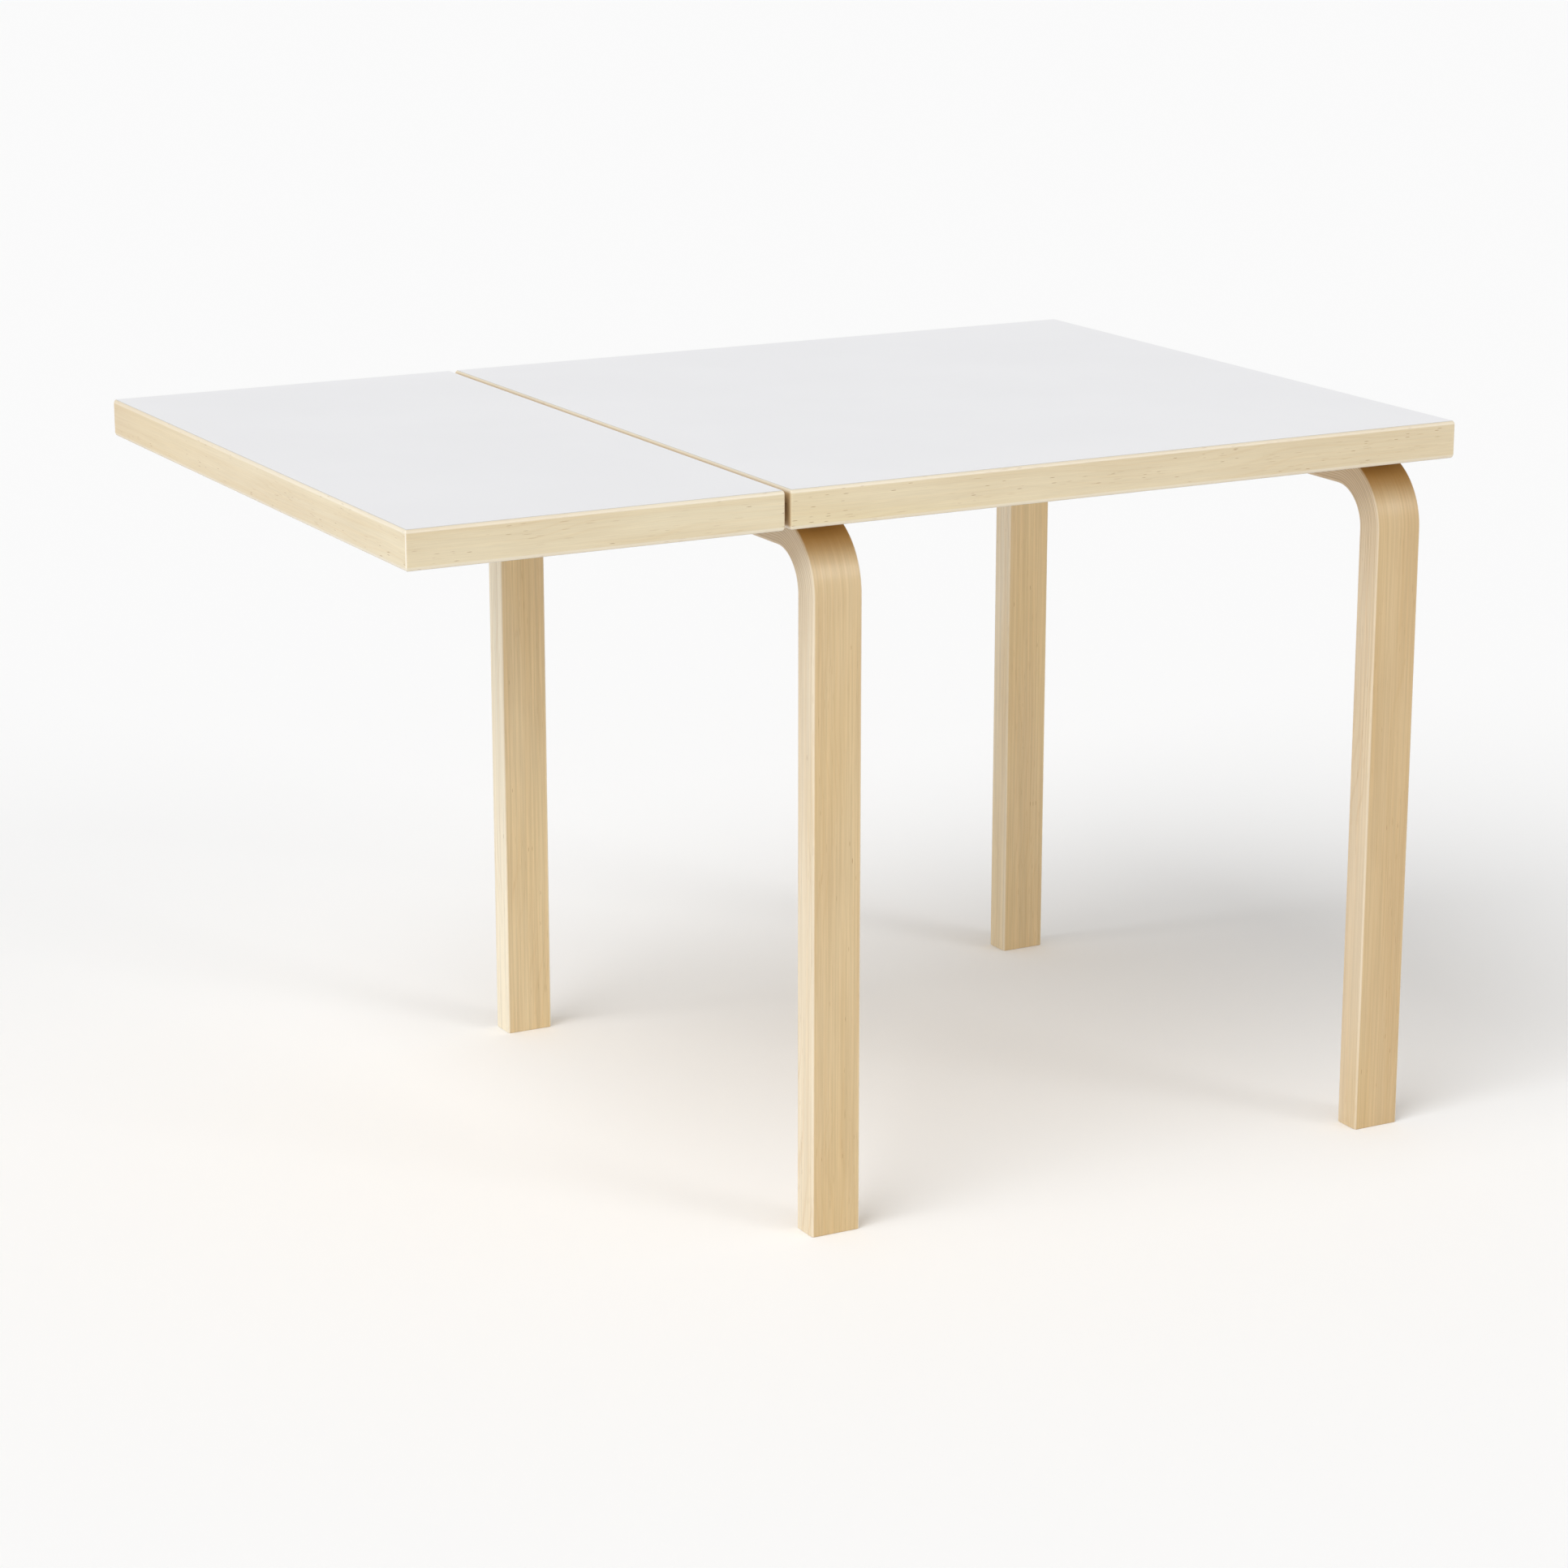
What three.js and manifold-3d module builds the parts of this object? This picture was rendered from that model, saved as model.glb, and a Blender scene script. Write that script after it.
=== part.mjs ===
// Drop-leaf table: a square laminate-faced top on four bent L-legs of birch, with a half-size
// leaf hinged to its left end and a swing-down frame that holds the leaf up.
// Millimetres, +Z up, floor at z = 0. +X runs along the table, away from the leaf; +Y to the back.
import * as THREE from 'three';
import { mergeVertices } from 'three/addons/utils/BufferGeometryUtils.js';
import Module from 'manifold-3d';

const wasm = await Module();
wasm.setup();

// ---- driving dimensions ----
const TABLE_HEIGHT = 735;
const TOP_DEPTH = 750; // both tops, front to back
const MAIN_LENGTH = 750;
const LEAF_LENGTH = 375;
const SEAM_GAP = 5; // open joint between main top and leaf
const TOP_THICKNESS = 37.5;
const ARRIS_RADIUS = 3.5; // rounding of the long edges of the tops
const CORNER_RADIUS = 4; // rounding of the upright corners of the tops
const FACING = 1; // thickness of the laminate and of the backing sheet
const LIPPING_WIDTH = 12; // solid birch edge band
const GLUE_GAP = 0.25;

const LEG_WIDTH = 52; // along X
const LEG_THICKNESS = 31;
const LEG_BEND_RADIUS = 71; // outside of the bend
const LEG_ARM_LENGTH = 170; // outer face to the end of the horizontal arm
const LEG_EDGE = 2;
const LEG_END_INSET = 30; // from the ends of the main top to a leg's side
const LEG_FACE_INSET = 11; // from the front or back edge to a leg's outer face

const SCREW_SEGMENTS = 8;
const PIN_SEGMENTS = 12;
const BAR_SEGMENTS = 16;
const RUNNING_GAP = 0.3; // round any pin or screw
const SPARE = 1; // how far a cutting shape runs past what it cuts
const HOLE_SPARE = 2; // depth of a hole past its screw's point
// crown: radius of the flat on the head; shoulder: height of the head's rim; point: its length
const LEG_SCREW = { shank: 2.5, length: 52, point: 5, head: 5, headHeight: 3, crown: 3.75, shoulder: 1.2 };
// places along the arm, from the leg's outer face, and across it
const LEG_SCREW_PLACES = [[88, -12], [118, 12], [148, -12]];

const HINGE_PLACES = { front: -290, middle: 0, back: 290 };
const HINGE_LENGTH = 60;
const HINGE_REACH = 28; // axis to the free edge of a plate
const HINGE_PLATE = 2; // plate thickness
const KNUCKLE_RADIUS = 4;
const KNUCKLE_CLEARANCE = 0.8; // knuckle to the edge of the other plate
const KNUCKLE_TAB_START = 1.5; // where a plate runs into its knuckle, from the axis
const HINGE_PIN = { radius: 2, head: 3, headHeight: 1 };
const HINGE_DROP = 4.5; // underside of the tops to the hinge axis
const HINGE_SCREW = { shank: 1.6, length: 16, point: 3, head: 3.4, headHeight: 1.8 };
const HINGE_SCREW_SPACING = 36;
const HINGE_SCREW_REACH = 16.8; // axis to a screw

const PROP_SPACING = 140; // the two prop arms, each side of the centre line
const PROP_PIVOT_INSET = 11.5; // from the seam edge of the main top
const PROP_PIVOT_DROP = 38; // underside of the top to the pivot
const PROP_ARM_LENGTH = 220; // pivot to crossbar
const PROP_ARM_WIDTH = 18;
const PROP_BAR_RADIUS = 9;
const PROP_PIN = { radius: 4, head: 6, headHeight: 2 };
const PROP_TENON_RADIUS = 5;
const PROP_TENON_INSET = 1; // end of a tenon to the outside of its arm
const LUG_THICKNESS = 2.5;
const LUG_CLEARANCE = 0.5; // each side of a prop arm
const LUG_FOOT = 36; // length of a lug where it meets its base
const BRACKET_BASE = { length: 44, flange: 4 };
const CLEAT = { length: 200, width: 25, height: 5, chamfer: 1.5, gap: 0.5 };

// ---- derived places ----
const UNDERSIDE = TABLE_HEIGHT - TOP_THICKNESS;
const TABLE_LENGTH = MAIN_LENGTH + SEAM_GAP + LEAF_LENGTH;
const LEAF = { low: -TABLE_LENGTH / 2, high: -TABLE_LENGTH / 2 + LEAF_LENGTH };
const MAIN = { low: LEAF.high + SEAM_GAP, high: TABLE_LENGTH / 2 };
const HINGE_X = (LEAF.high + MAIN.low) / 2;
const HINGE_Z = UNDERSIDE - HINGE_DROP;
const PIVOT_X = MAIN.low + PROP_PIVOT_INSET;
const PIVOT_Z = UNDERSIDE - PROP_PIVOT_DROP;
const BAR_Z = UNDERSIDE - RUNNING_GAP - PROP_BAR_RADIUS;
const BAR_X = PIVOT_X - Math.sqrt(PROP_ARM_LENGTH ** 2 - (BAR_Z - PIVOT_Z) ** 2);

// ---- materials ----
const laminateFinish = { color: 0xeeeef0, roughness: 0.45, metalness: 0 };
const backingFinish = { color: 0xcdb087, roughness: 0.5, metalness: 0 };
const coreFinish = { color: 0xc9ad7f, roughness: 0.85, metalness: 0 };
const birchFinish = { color: 0xe2cfa8, roughness: 0.5, metalness: 0 };
const steelFinish = { color: 0xa9abad, roughness: 0.35, metalness: 1 };
const zincFinish = { color: 0xc4c2ba, roughness: 0.4, metalness: 1 };

const table = new THREE.Group();

function addPiece(name, geometry, finish) {
  const mesh = new THREE.Mesh(geometry, new THREE.MeshStandardMaterial(finish));
  mesh.name = name;
  table.add(mesh);
  return mesh;
}

// ---- solids ----
function toSolid(geometry) {
  const bare = geometry.clone();
  bare.deleteAttribute('normal');
  bare.deleteAttribute('uv');
  const merged = mergeVertices(bare, 1e-4);
  const vertProperties = new Float32Array(merged.attributes.position.array);
  const triVerts = new Uint32Array(merged.index.array);
  return new wasm.Manifold(new wasm.Mesh({ numProp: 3, vertProperties, triVerts }));
}

function toGeometry(solid) {
  const mesh = solid.getMesh();
  const geometry = new THREE.BufferGeometry();
  geometry.setAttribute('position', new THREE.BufferAttribute(mesh.vertProperties, 3));
  geometry.setIndex(new THREE.BufferAttribute(mesh.triVerts, 1));
  geometry.computeVertexNormals();
  return geometry;
}

function boxBetween(low, high) {
  const size = high.map((value, axis) => value - low[axis]);
  const geometry = new THREE.BoxGeometry(...size);
  return geometry.translate(...low.map((value, axis) => value + size[axis] / 2));
}

// A shape drawn in the YZ plane, extruded along X about x = 0.
function extrudeAlongX(shape, width, options) {
  const geometry = new THREE.ExtrudeGeometry(shape, options);
  const turn = new THREE.Matrix4().makeBasis(
    new THREE.Vector3(0, 1, 0), new THREE.Vector3(0, 0, 1), new THREE.Vector3(1, 0, 0));
  return geometry.applyMatrix4(turn).translate(-width / 2, 0, 0);
}

// A shape drawn in the XZ plane, extruded along Y from low to low + width.
function extrudeAlongY(shape, low, width, curveSegments = 8) {
  const geometry = new THREE.ExtrudeGeometry(shape, { depth: width, bevelEnabled: false, curveSegments });
  return geometry.rotateX(Math.PI / 2).translate(0, low + width, 0);
}

// A turned piece whose profile is [radius, place along the axis], with its axis on Z or on Y.
function turned(profile, segments, axis = 'z') {
  const points = profile.map(([radius, place]) => new THREE.Vector2(radius, place));
  const geometry = new THREE.LatheGeometry(points, segments);
  return axis === 'z' ? geometry.rotateX(Math.PI / 2) : geometry;
}

function cylinder(radius, low, high, segments, axis) {
  return turned([[0, low], [radius, low], [radius, high], [0, high]], segments, axis);
}

function drill(solid, places, radius, low, high) {
  let result = solid;
  for (const [x, y] of places) {
    const hole = cylinder(radius, low, high, SCREW_SEGMENTS).translate(x, y, 0);
    result = result.subtract(toSolid(hole));
  }
  return result;
}

// A headed pin along Y that reaches `end` each side of the middle, before its heads.
function pinGeometry(pin, end) {
  const tip = end + pin.headHeight;
  return turned([
    [0, -tip],
    [pin.head, -tip],
    [pin.head, -end],
    [pin.radius, -end],
    [pin.radius, end],
    [pin.head, end],
    [pin.head, tip],
    [0, tip],
  ], PIN_SEGMENTS, 'y');
}

// ---- tops: core, laminate, backing and four mitred birch lippings ----
function topBlank(span) {
  const left = span.low + ARRIS_RADIUS;
  const right = span.high - ARRIS_RADIUS;
  const half = TOP_DEPTH / 2 - ARRIS_RADIUS;
  const corner = CORNER_RADIUS - ARRIS_RADIUS;
  const outline = new THREE.Shape();
  outline.absarc(right - corner, half - corner, corner, 0, Math.PI / 2);
  outline.absarc(left + corner, half - corner, corner, Math.PI / 2, Math.PI);
  outline.absarc(left + corner, -half + corner, corner, Math.PI, 1.5 * Math.PI);
  outline.absarc(right - corner, -half + corner, corner, 1.5 * Math.PI, 2 * Math.PI);
  const blank = new THREE.ExtrudeGeometry(outline, {
    depth: TOP_THICKNESS - 2 * ARRIS_RADIUS,
    bevelSize: ARRIS_RADIUS,
    bevelThickness: ARRIS_RADIUS,
    bevelSegments: 3,
    curveSegments: 2,
  });
  return toSolid(blank.translate(0, 0, UNDERSIDE + ARRIS_RADIUS));
}

function slice(solid, low, high) {
  const reach = TABLE_LENGTH;
  return solid.intersect(toSolid(boxBetween([-reach, -reach, low], [reach, reach, high])));
}

// The region of one lipping seen from above: a strip with ends cut at 45 degrees.
function mitredStrip(span, side) {
  const half = TOP_DEPTH / 2;
  const spare = 20; // beyond the outer face
  const inner = LIPPING_WIDTH;
  const cut = GLUE_GAP / 2;
  const along = side === 'front' || side === 'back';
  const length = along ? span.high - span.low : TOP_DEPTH;
  const strip = new THREE.Shape([
    new THREE.Vector2(-length / 2 - spare + cut, -spare),
    new THREE.Vector2(length / 2 + spare - cut, -spare),
    new THREE.Vector2(length / 2 - inner - cut, inner),
    new THREE.Vector2(-length / 2 + inner + cut, inner),
  ]);
  const geometry = new THREE.ExtrudeGeometry(strip, { depth: TABLE_HEIGHT, bevelEnabled: false });
  const middle = (span.low + span.high) / 2;
  const places = {
    front: [0, middle, -half],
    back: [Math.PI, middle, half],
    left: [-Math.PI / 2, span.low, 0],
    right: [Math.PI / 2, span.high, 0],
  };
  const [angle, x, y] = places[side];
  return toSolid(geometry.rotateZ(angle).translate(x, y, 0));
}

function addTop(name, span, screws) {
  const blank = topBlank(span);
  const coreLow = UNDERSIDE + FACING + GLUE_GAP;
  const coreHigh = TABLE_HEIGHT - FACING - GLUE_GAP;
  const inset = LIPPING_WIDTH + GLUE_GAP;
  const half = TOP_DEPTH / 2 - inset;
  const coreBox = boxBetween([span.low + inset, -half, coreLow], [span.high - inset, half, coreHigh]);
  let core = toSolid(coreBox);
  let backing = slice(blank, UNDERSIDE - SPARE, UNDERSIDE + FACING);
  for (const { places, radius, depth } of screws) {
    core = drill(core, places, radius, UNDERSIDE - SPARE, UNDERSIDE + depth);
    backing = drill(backing, places, radius, UNDERSIDE - SPARE, UNDERSIDE + depth);
  }
  addPiece(`${name}_core`, toGeometry(core), coreFinish);
  addPiece(`${name}_backing`, toGeometry(backing), backingFinish);
  const laminate = slice(blank, TABLE_HEIGHT - FACING, TABLE_HEIGHT + SPARE);
  addPiece(`${name}_laminate`, toGeometry(laminate), laminateFinish);
  const edgeBand = slice(blank, coreLow, coreHigh);
  for (const side of ['front', 'back', 'left', 'right']) {
    const lipping = edgeBand.intersect(mitredStrip(span, side));
    addPiece(`${name}_lipping_${side}`, toGeometry(lipping), birchFinish);
  }
}

// ---- legs ----
// One leg at the front, about x = 0: upright with its foot on the floor, a bend, and an arm
// that runs back under the top.
function legGeometry() {
  const outer = -TOP_DEPTH / 2 + LEG_FACE_INSET;
  const inner = outer + LEG_THICKNESS;
  const top = UNDERSIDE - GLUE_GAP;
  const bendY = outer + LEG_BEND_RADIUS;
  const bendZ = top - LEG_BEND_RADIUS;
  const armEnd = outer + LEG_ARM_LENGTH;
  const outline = new THREE.Shape();
  outline.moveTo(inner, 0);
  outline.lineTo(inner, bendZ);
  outline.absarc(bendY, bendZ, LEG_BEND_RADIUS - LEG_THICKNESS, Math.PI, Math.PI / 2, true);
  outline.lineTo(armEnd, top - LEG_THICKNESS);
  outline.lineTo(armEnd, top);
  outline.absarc(bendY, bendZ, LEG_BEND_RADIUS, Math.PI / 2, Math.PI, false);
  outline.lineTo(outer, 0);
  const upright = extrudeAlongX(outline, LEG_WIDTH - 2 * LEG_EDGE, {
    depth: LEG_WIDTH - 2 * LEG_EDGE,
    bevelSize: LEG_EDGE,
    bevelThickness: LEG_EDGE,
    bevelOffset: -LEG_EDGE,
    bevelSegments: 1,
    curveSegments: 10,
  });
  const places = LEG_SCREW_PLACES.map(([along, across]) => [across, outer + along]);
  const low = top - LEG_THICKNESS - SPARE;
  return toGeometry(drill(toSolid(upright), places, LEG_SCREW.shank + RUNNING_GAP, low, UNDERSIDE));
}

function legScrewGeometry() {
  const screw = LEG_SCREW;
  return turned([
    [0, -screw.headHeight],
    [screw.crown, -screw.headHeight],
    [screw.head, -screw.shoulder],
    [screw.head, 0],
    [screw.shank, 0],
    [screw.shank, screw.length - screw.point],
    [0, screw.length],
  ], SCREW_SEGMENTS);
}

const legPlaces = [];
for (const [end, x] of [
  ['left', MAIN.low + LEG_END_INSET + LEG_WIDTH / 2],
  ['right', MAIN.high - LEG_END_INSET - LEG_WIDTH / 2],
]) {
  legPlaces.push({ name: `front_${end}`, x, turn: 0 });
  legPlaces.push({ name: `back_${end}`, x, turn: Math.PI });
}

// Where a leg's screws meet the top, in the table's plan.
function legScrewPlaces(leg) {
  const facing = leg.turn === 0 ? 1 : -1;
  const outer = -TOP_DEPTH / 2 + LEG_FACE_INSET;
  return LEG_SCREW_PLACES.map(([along, across]) => [leg.x + facing * across, facing * (outer + along)]);
}

function addLegs() {
  const armUnderside = UNDERSIDE - GLUE_GAP - LEG_THICKNESS;
  for (const leg of legPlaces) {
    const mesh = addPiece(`leg_${leg.name}`, legGeometry(), birchFinish);
    mesh.position.x = leg.x;
    mesh.rotation.z = leg.turn;
    legScrewPlaces(leg).forEach(([x, y], index) => {
      const screw = addPiece(`leg_screw_${leg.name}_${index + 1}`, legScrewGeometry(), zincFinish);
      screw.position.set(x, y, armUnderside - RUNNING_GAP);
    });
  }
}

// ---- hinges ----
// Screw places of every hinge plate on one side: +1 under the main top, -1 under the leaf.
function hingeScrewPlaces(side) {
  const x = HINGE_X + side * HINGE_SCREW_REACH;
  return Object.values(HINGE_PLACES).flatMap((y) => [
    [x, y - HINGE_SCREW_SPACING / 2],
    [x, y + HINGE_SCREW_SPACING / 2],
  ]);
}

// A plate about the hinge axis at the origin, reaching out along +X, with knuckles along Y.
function hingePlateSolid(knuckles) {
  const top = HINGE_DROP - RUNNING_GAP;
  const low = top - HINGE_PLATE;
  const half = HINGE_LENGTH / 2;
  const clearOfKnuckles = KNUCKLE_RADIUS + KNUCKLE_CLEARANCE;
  let plate = toSolid(boxBetween([clearOfKnuckles, -half, low], [HINGE_REACH, half, top]));
  for (const [from, to] of knuckles) {
    const tab = boxBetween([KNUCKLE_TAB_START, from, low], [clearOfKnuckles + SPARE, to, top]);
    const knuckle = cylinder(KNUCKLE_RADIUS, from, to, BAR_SEGMENTS, 'y');
    plate = plate.add(toSolid(tab)).add(toSolid(knuckle));
  }
  const bore = cylinder(HINGE_PIN.radius + RUNNING_GAP, -half - SPARE, half + SPARE, PIN_SEGMENTS, 'y');
  plate = plate.subtract(toSolid(bore));
  for (const y of [-HINGE_SCREW_SPACING / 2, HINGE_SCREW_SPACING / 2]) {
    const sink = turned([
      [0, low - SPARE],
      [HINGE_SCREW.head + RUNNING_GAP, low - SPARE],
      [HINGE_SCREW.head + RUNNING_GAP, low],
      [HINGE_SCREW.shank + RUNNING_GAP, low + HINGE_SCREW.headHeight],
      [HINGE_SCREW.shank + RUNNING_GAP, top + SPARE],
      [0, top + SPARE],
    ], SCREW_SEGMENTS);
    plate = plate.subtract(toSolid(sink.translate(HINGE_SCREW_REACH, y, 0)));
  }
  return plate;
}

function hingeScrewGeometry() {
  return turned([
    [0, 0],
    [HINGE_SCREW.head, 0],
    [HINGE_SCREW.shank, HINGE_SCREW.headHeight],
    [HINGE_SCREW.shank, HINGE_SCREW.length - HINGE_SCREW.point],
    [0, HINGE_SCREW.length],
  ], SCREW_SEGMENTS);
}

function addHinges() {
  const half = HINGE_LENGTH / 2;
  const third = HINGE_LENGTH / 6;
  const play = RUNNING_GAP / 2;
  const fixedKnuckles = [[-half, -third - play], [third + play, half]];
  const leafKnuckles = [[-third + play, third - play]];
  const screwHeadZ = UNDERSIDE - RUNNING_GAP - HINGE_PLATE;
  const fixedPlate = toGeometry(hingePlateSolid(fixedKnuckles));
  const leafPlate = toGeometry(hingePlateSolid(leafKnuckles)).rotateZ(Math.PI);
  const pin = pinGeometry(HINGE_PIN, half + RUNNING_GAP);
  for (const [place, y] of Object.entries(HINGE_PLACES)) {
    addPiece(`hinge_${place}_main_plate`, fixedPlate, steelFinish).position.set(HINGE_X, y, HINGE_Z);
    addPiece(`hinge_${place}_leaf_plate`, leafPlate, steelFinish).position.set(HINGE_X, y, HINGE_Z);
    addPiece(`hinge_${place}_pin`, pin, steelFinish).position.set(HINGE_X, y, HINGE_Z);
  }
  for (const [side, sign] of [['main', 1], ['leaf', -1]]) {
    hingeScrewPlaces(sign).forEach(([x, y], index) => {
      const screw = addPiece(`hinge_screw_${side}_${index + 1}`, hingeScrewGeometry(), zincFinish);
      screw.position.set(x, y, screwHeadZ);
    });
  }
}

// ---- swing-down support under the leaf ----
function bracketGeometry() {
  const top = UNDERSIDE - GLUE_GAP;
  const inside = PROP_ARM_WIDTH / 2 + LUG_CLEARANCE;
  const outside = inside + LUG_THICKNESS;
  const halfWidth = outside + BRACKET_BASE.flange;
  const low = PIVOT_X - PROP_BAR_RADIUS;
  const high = low + BRACKET_BASE.length;
  const lugTop = top - LUG_THICKNESS / 2;
  const base = boxBetween([low, -halfWidth, top - LUG_THICKNESS], [high, halfWidth, top]);
  const lug = new THREE.Shape();
  lug.moveTo(low, lugTop);
  lug.lineTo(low, PIVOT_Z);
  lug.absarc(PIVOT_X, PIVOT_Z, PROP_BAR_RADIUS, Math.PI, 2 * Math.PI, false);
  lug.lineTo(low + LUG_FOOT, lugTop);
  let bracket = toSolid(base);
  for (const from of [-outside, inside]) {
    bracket = bracket.add(toSolid(extrudeAlongY(lug, from, LUG_THICKNESS, 5)));
  }
  const bore = PROP_PIN.radius + RUNNING_GAP;
  const hole = cylinder(bore, -outside - SPARE, outside + SPARE, PIN_SEGMENTS, 'y');
  return toGeometry(bracket.subtract(toSolid(hole.translate(PIVOT_X, 0, PIVOT_Z))));
}

function propArmGeometry() {
  const rise = Math.atan2(BAR_Z - PIVOT_Z, PIVOT_X - BAR_X);
  const square = Math.PI / 2 - rise; // direction of the arm's upper side
  const outline = new THREE.Shape();
  outline.absarc(PIVOT_X, PIVOT_Z, PROP_BAR_RADIUS, square - Math.PI, square, false);
  outline.absarc(BAR_X, BAR_Z, PROP_BAR_RADIUS, square, square + Math.PI, false);
  const pinHole = new THREE.Path();
  pinHole.absarc(PIVOT_X, PIVOT_Z, PROP_PIN.radius + RUNNING_GAP, 0, 2 * Math.PI, true);
  const tenonHole = new THREE.Path();
  tenonHole.absarc(BAR_X, BAR_Z, PROP_TENON_RADIUS + RUNNING_GAP, 0, 2 * Math.PI, true);
  outline.holes.push(pinHole, tenonHole);
  return extrudeAlongY(outline, -PROP_ARM_WIDTH / 2, PROP_ARM_WIDTH, 6);
}

function crossbarGeometry() {
  const shoulder = PROP_SPACING - PROP_ARM_WIDTH / 2 - RUNNING_GAP;
  const end = PROP_SPACING + PROP_ARM_WIDTH / 2 - PROP_TENON_INSET;
  return turned([
    [0, -end],
    [PROP_TENON_RADIUS, -end],
    [PROP_TENON_RADIUS, -shoulder],
    [PROP_BAR_RADIUS, -shoulder],
    [PROP_BAR_RADIUS, shoulder],
    [PROP_TENON_RADIUS, shoulder],
    [PROP_TENON_RADIUS, end],
    [0, end],
  ], BAR_SEGMENTS, 'y');
}

// The strip on the leaf that the crossbar rests against when the leaf is up.
function cleatGeometry() {
  const top = UNDERSIDE - GLUE_GAP;
  const near = BAR_X - PROP_BAR_RADIUS - CLEAT.gap;
  const far = near - CLEAT.width;
  const profile = new THREE.Shape([
    new THREE.Vector2(far, top),
    new THREE.Vector2(far, top - CLEAT.height + CLEAT.chamfer),
    new THREE.Vector2(far + CLEAT.chamfer, top - CLEAT.height),
    new THREE.Vector2(near - CLEAT.chamfer, top - CLEAT.height),
    new THREE.Vector2(near, top - CLEAT.height + CLEAT.chamfer),
    new THREE.Vector2(near, top),
  ]);
  return extrudeAlongY(profile, -CLEAT.length / 2, CLEAT.length);
}

function addSupport() {
  const pinEnd = PROP_ARM_WIDTH / 2 + LUG_CLEARANCE + LUG_THICKNESS + RUNNING_GAP;
  for (const [place, y] of [['front', -PROP_SPACING], ['back', PROP_SPACING]]) {
    addPiece(`prop_bracket_${place}`, bracketGeometry(), steelFinish).position.y = y;
    const pin = pinGeometry(PROP_PIN, pinEnd);
    addPiece(`prop_pin_${place}`, pin, steelFinish).position.set(PIVOT_X, y, PIVOT_Z);
    addPiece(`prop_arm_${place}`, propArmGeometry(), birchFinish).position.y = y;
  }
  addPiece('prop_crossbar', crossbarGeometry(), birchFinish).position.set(BAR_X, 0, BAR_Z);
  addPiece('leaf_cleat', cleatGeometry(), birchFinish);
}

// ---- assembly ----
const hingeHole = { radius: HINGE_SCREW.shank + RUNNING_GAP, depth: HINGE_SCREW.length };
const legHoleDepth = LEG_SCREW.length - LEG_THICKNESS + HOLE_SPARE;
const legHole = { radius: LEG_SCREW.shank + RUNNING_GAP, depth: legHoleDepth };
addTop('main', MAIN, [
  { ...legHole, places: legPlaces.flatMap(legScrewPlaces) },
  { ...hingeHole, places: hingeScrewPlaces(1) },
]);
addTop('leaf', LEAF, [{ ...hingeHole, places: hingeScrewPlaces(-1) }]);
addLegs();
addHinges();
addSupport();

export default table;
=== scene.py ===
"""Looks of a drop-leaf table: white laminate tops with birch edge bands on bent, glued birch legs.

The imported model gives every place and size. This script lays fine meshes over it, gives them
procedural materials, and sets the light and the camera. Metres, +Z up.
"""
import math
import random

import bmesh
import bpy
from mathutils import Matrix, Vector


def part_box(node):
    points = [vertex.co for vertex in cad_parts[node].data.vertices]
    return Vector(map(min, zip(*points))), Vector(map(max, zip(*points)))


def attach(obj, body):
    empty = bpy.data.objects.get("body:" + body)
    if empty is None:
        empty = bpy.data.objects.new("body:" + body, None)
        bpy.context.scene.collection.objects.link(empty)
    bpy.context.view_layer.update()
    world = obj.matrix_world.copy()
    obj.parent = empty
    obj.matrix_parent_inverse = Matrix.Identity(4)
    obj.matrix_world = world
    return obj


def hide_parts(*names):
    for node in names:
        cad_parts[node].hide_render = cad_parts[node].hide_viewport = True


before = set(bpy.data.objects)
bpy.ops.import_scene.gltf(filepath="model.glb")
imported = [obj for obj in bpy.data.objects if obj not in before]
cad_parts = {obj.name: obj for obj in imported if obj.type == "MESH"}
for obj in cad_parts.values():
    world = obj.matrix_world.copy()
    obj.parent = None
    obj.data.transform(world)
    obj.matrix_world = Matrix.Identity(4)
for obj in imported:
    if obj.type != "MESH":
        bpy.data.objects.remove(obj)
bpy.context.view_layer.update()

# ---- driving dimensions, metres ----
MM = 0.001
WELD = 0.002 * MM  # points closer than this are one
ARRIS_HEIGHT = 4.0 * MM  # the long edges of the tops are rounded over this height
ARRIS_RADIUS = 4.5 * MM
CORNER = 2.4 * MM  # rounding of the upright corners of the tops
LEAST_CORNER = 0.15 * MM
SHEET = 1.0 * MM  # laminate and backing
SHEET_RIM = 0.4 * MM  # how much of a sheet shows in the rounded edge
FLAT = 0.97  # upward part of a face's direction, above which it counts as flat
GLUE_LINE = 0.04 * MM
LIPPING = 12.0 * MM
TURNS = 4  # steps from a mitre to the straight
SEAM = 5.0 * MM  # between the main top and the leaf
SEAM_REACH = 1.3 * MM  # how far the painted shade inside the seam runs out over its edges
CORNER_PAINTED_HIGHLIGHT = 2.5  # painted highlight: how much paler the upright corners are painted than the long rounded edges
LEG_THICKNESS = 31.0 * MM
LEG_BEND = 71.0 * MM  # outside of the bend
LEG_EDGE = 2.2 * MM
END_EDGE = 0.9 * MM  # rounding where a leg is cut square
STRAIGHT_STEPS = 12  # rings of mesh up the straight of a leg
BEND_STEPS = 24
END_STEPS = 3
KERF_PITCH = 5.2 * MM  # glued veneers across the leg's thickness
KERF_RUN_OUT = 40.0 * MM  # how far they reach down the upright, below the bend
KERF_SPREAD = 35.0 * MM  # how much further some reach than others
KERF_FADE = 45.0 * MM  # over which they fade out
VENEER_LINE = (0.09, 0.17)  # how far from its middle a line is full, and gone, in pitches
SAW_CUT_SHADE = (0.17, 0.40)
PLAY = 0.3 * MM
HINGE_PLATE = 2.0 * MM
HINGE_PLATE_EDGE = 0.3 * MM
HINGE_REACH = 28.0 * MM
HINGE_CORNER = 3.0 * MM
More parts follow.
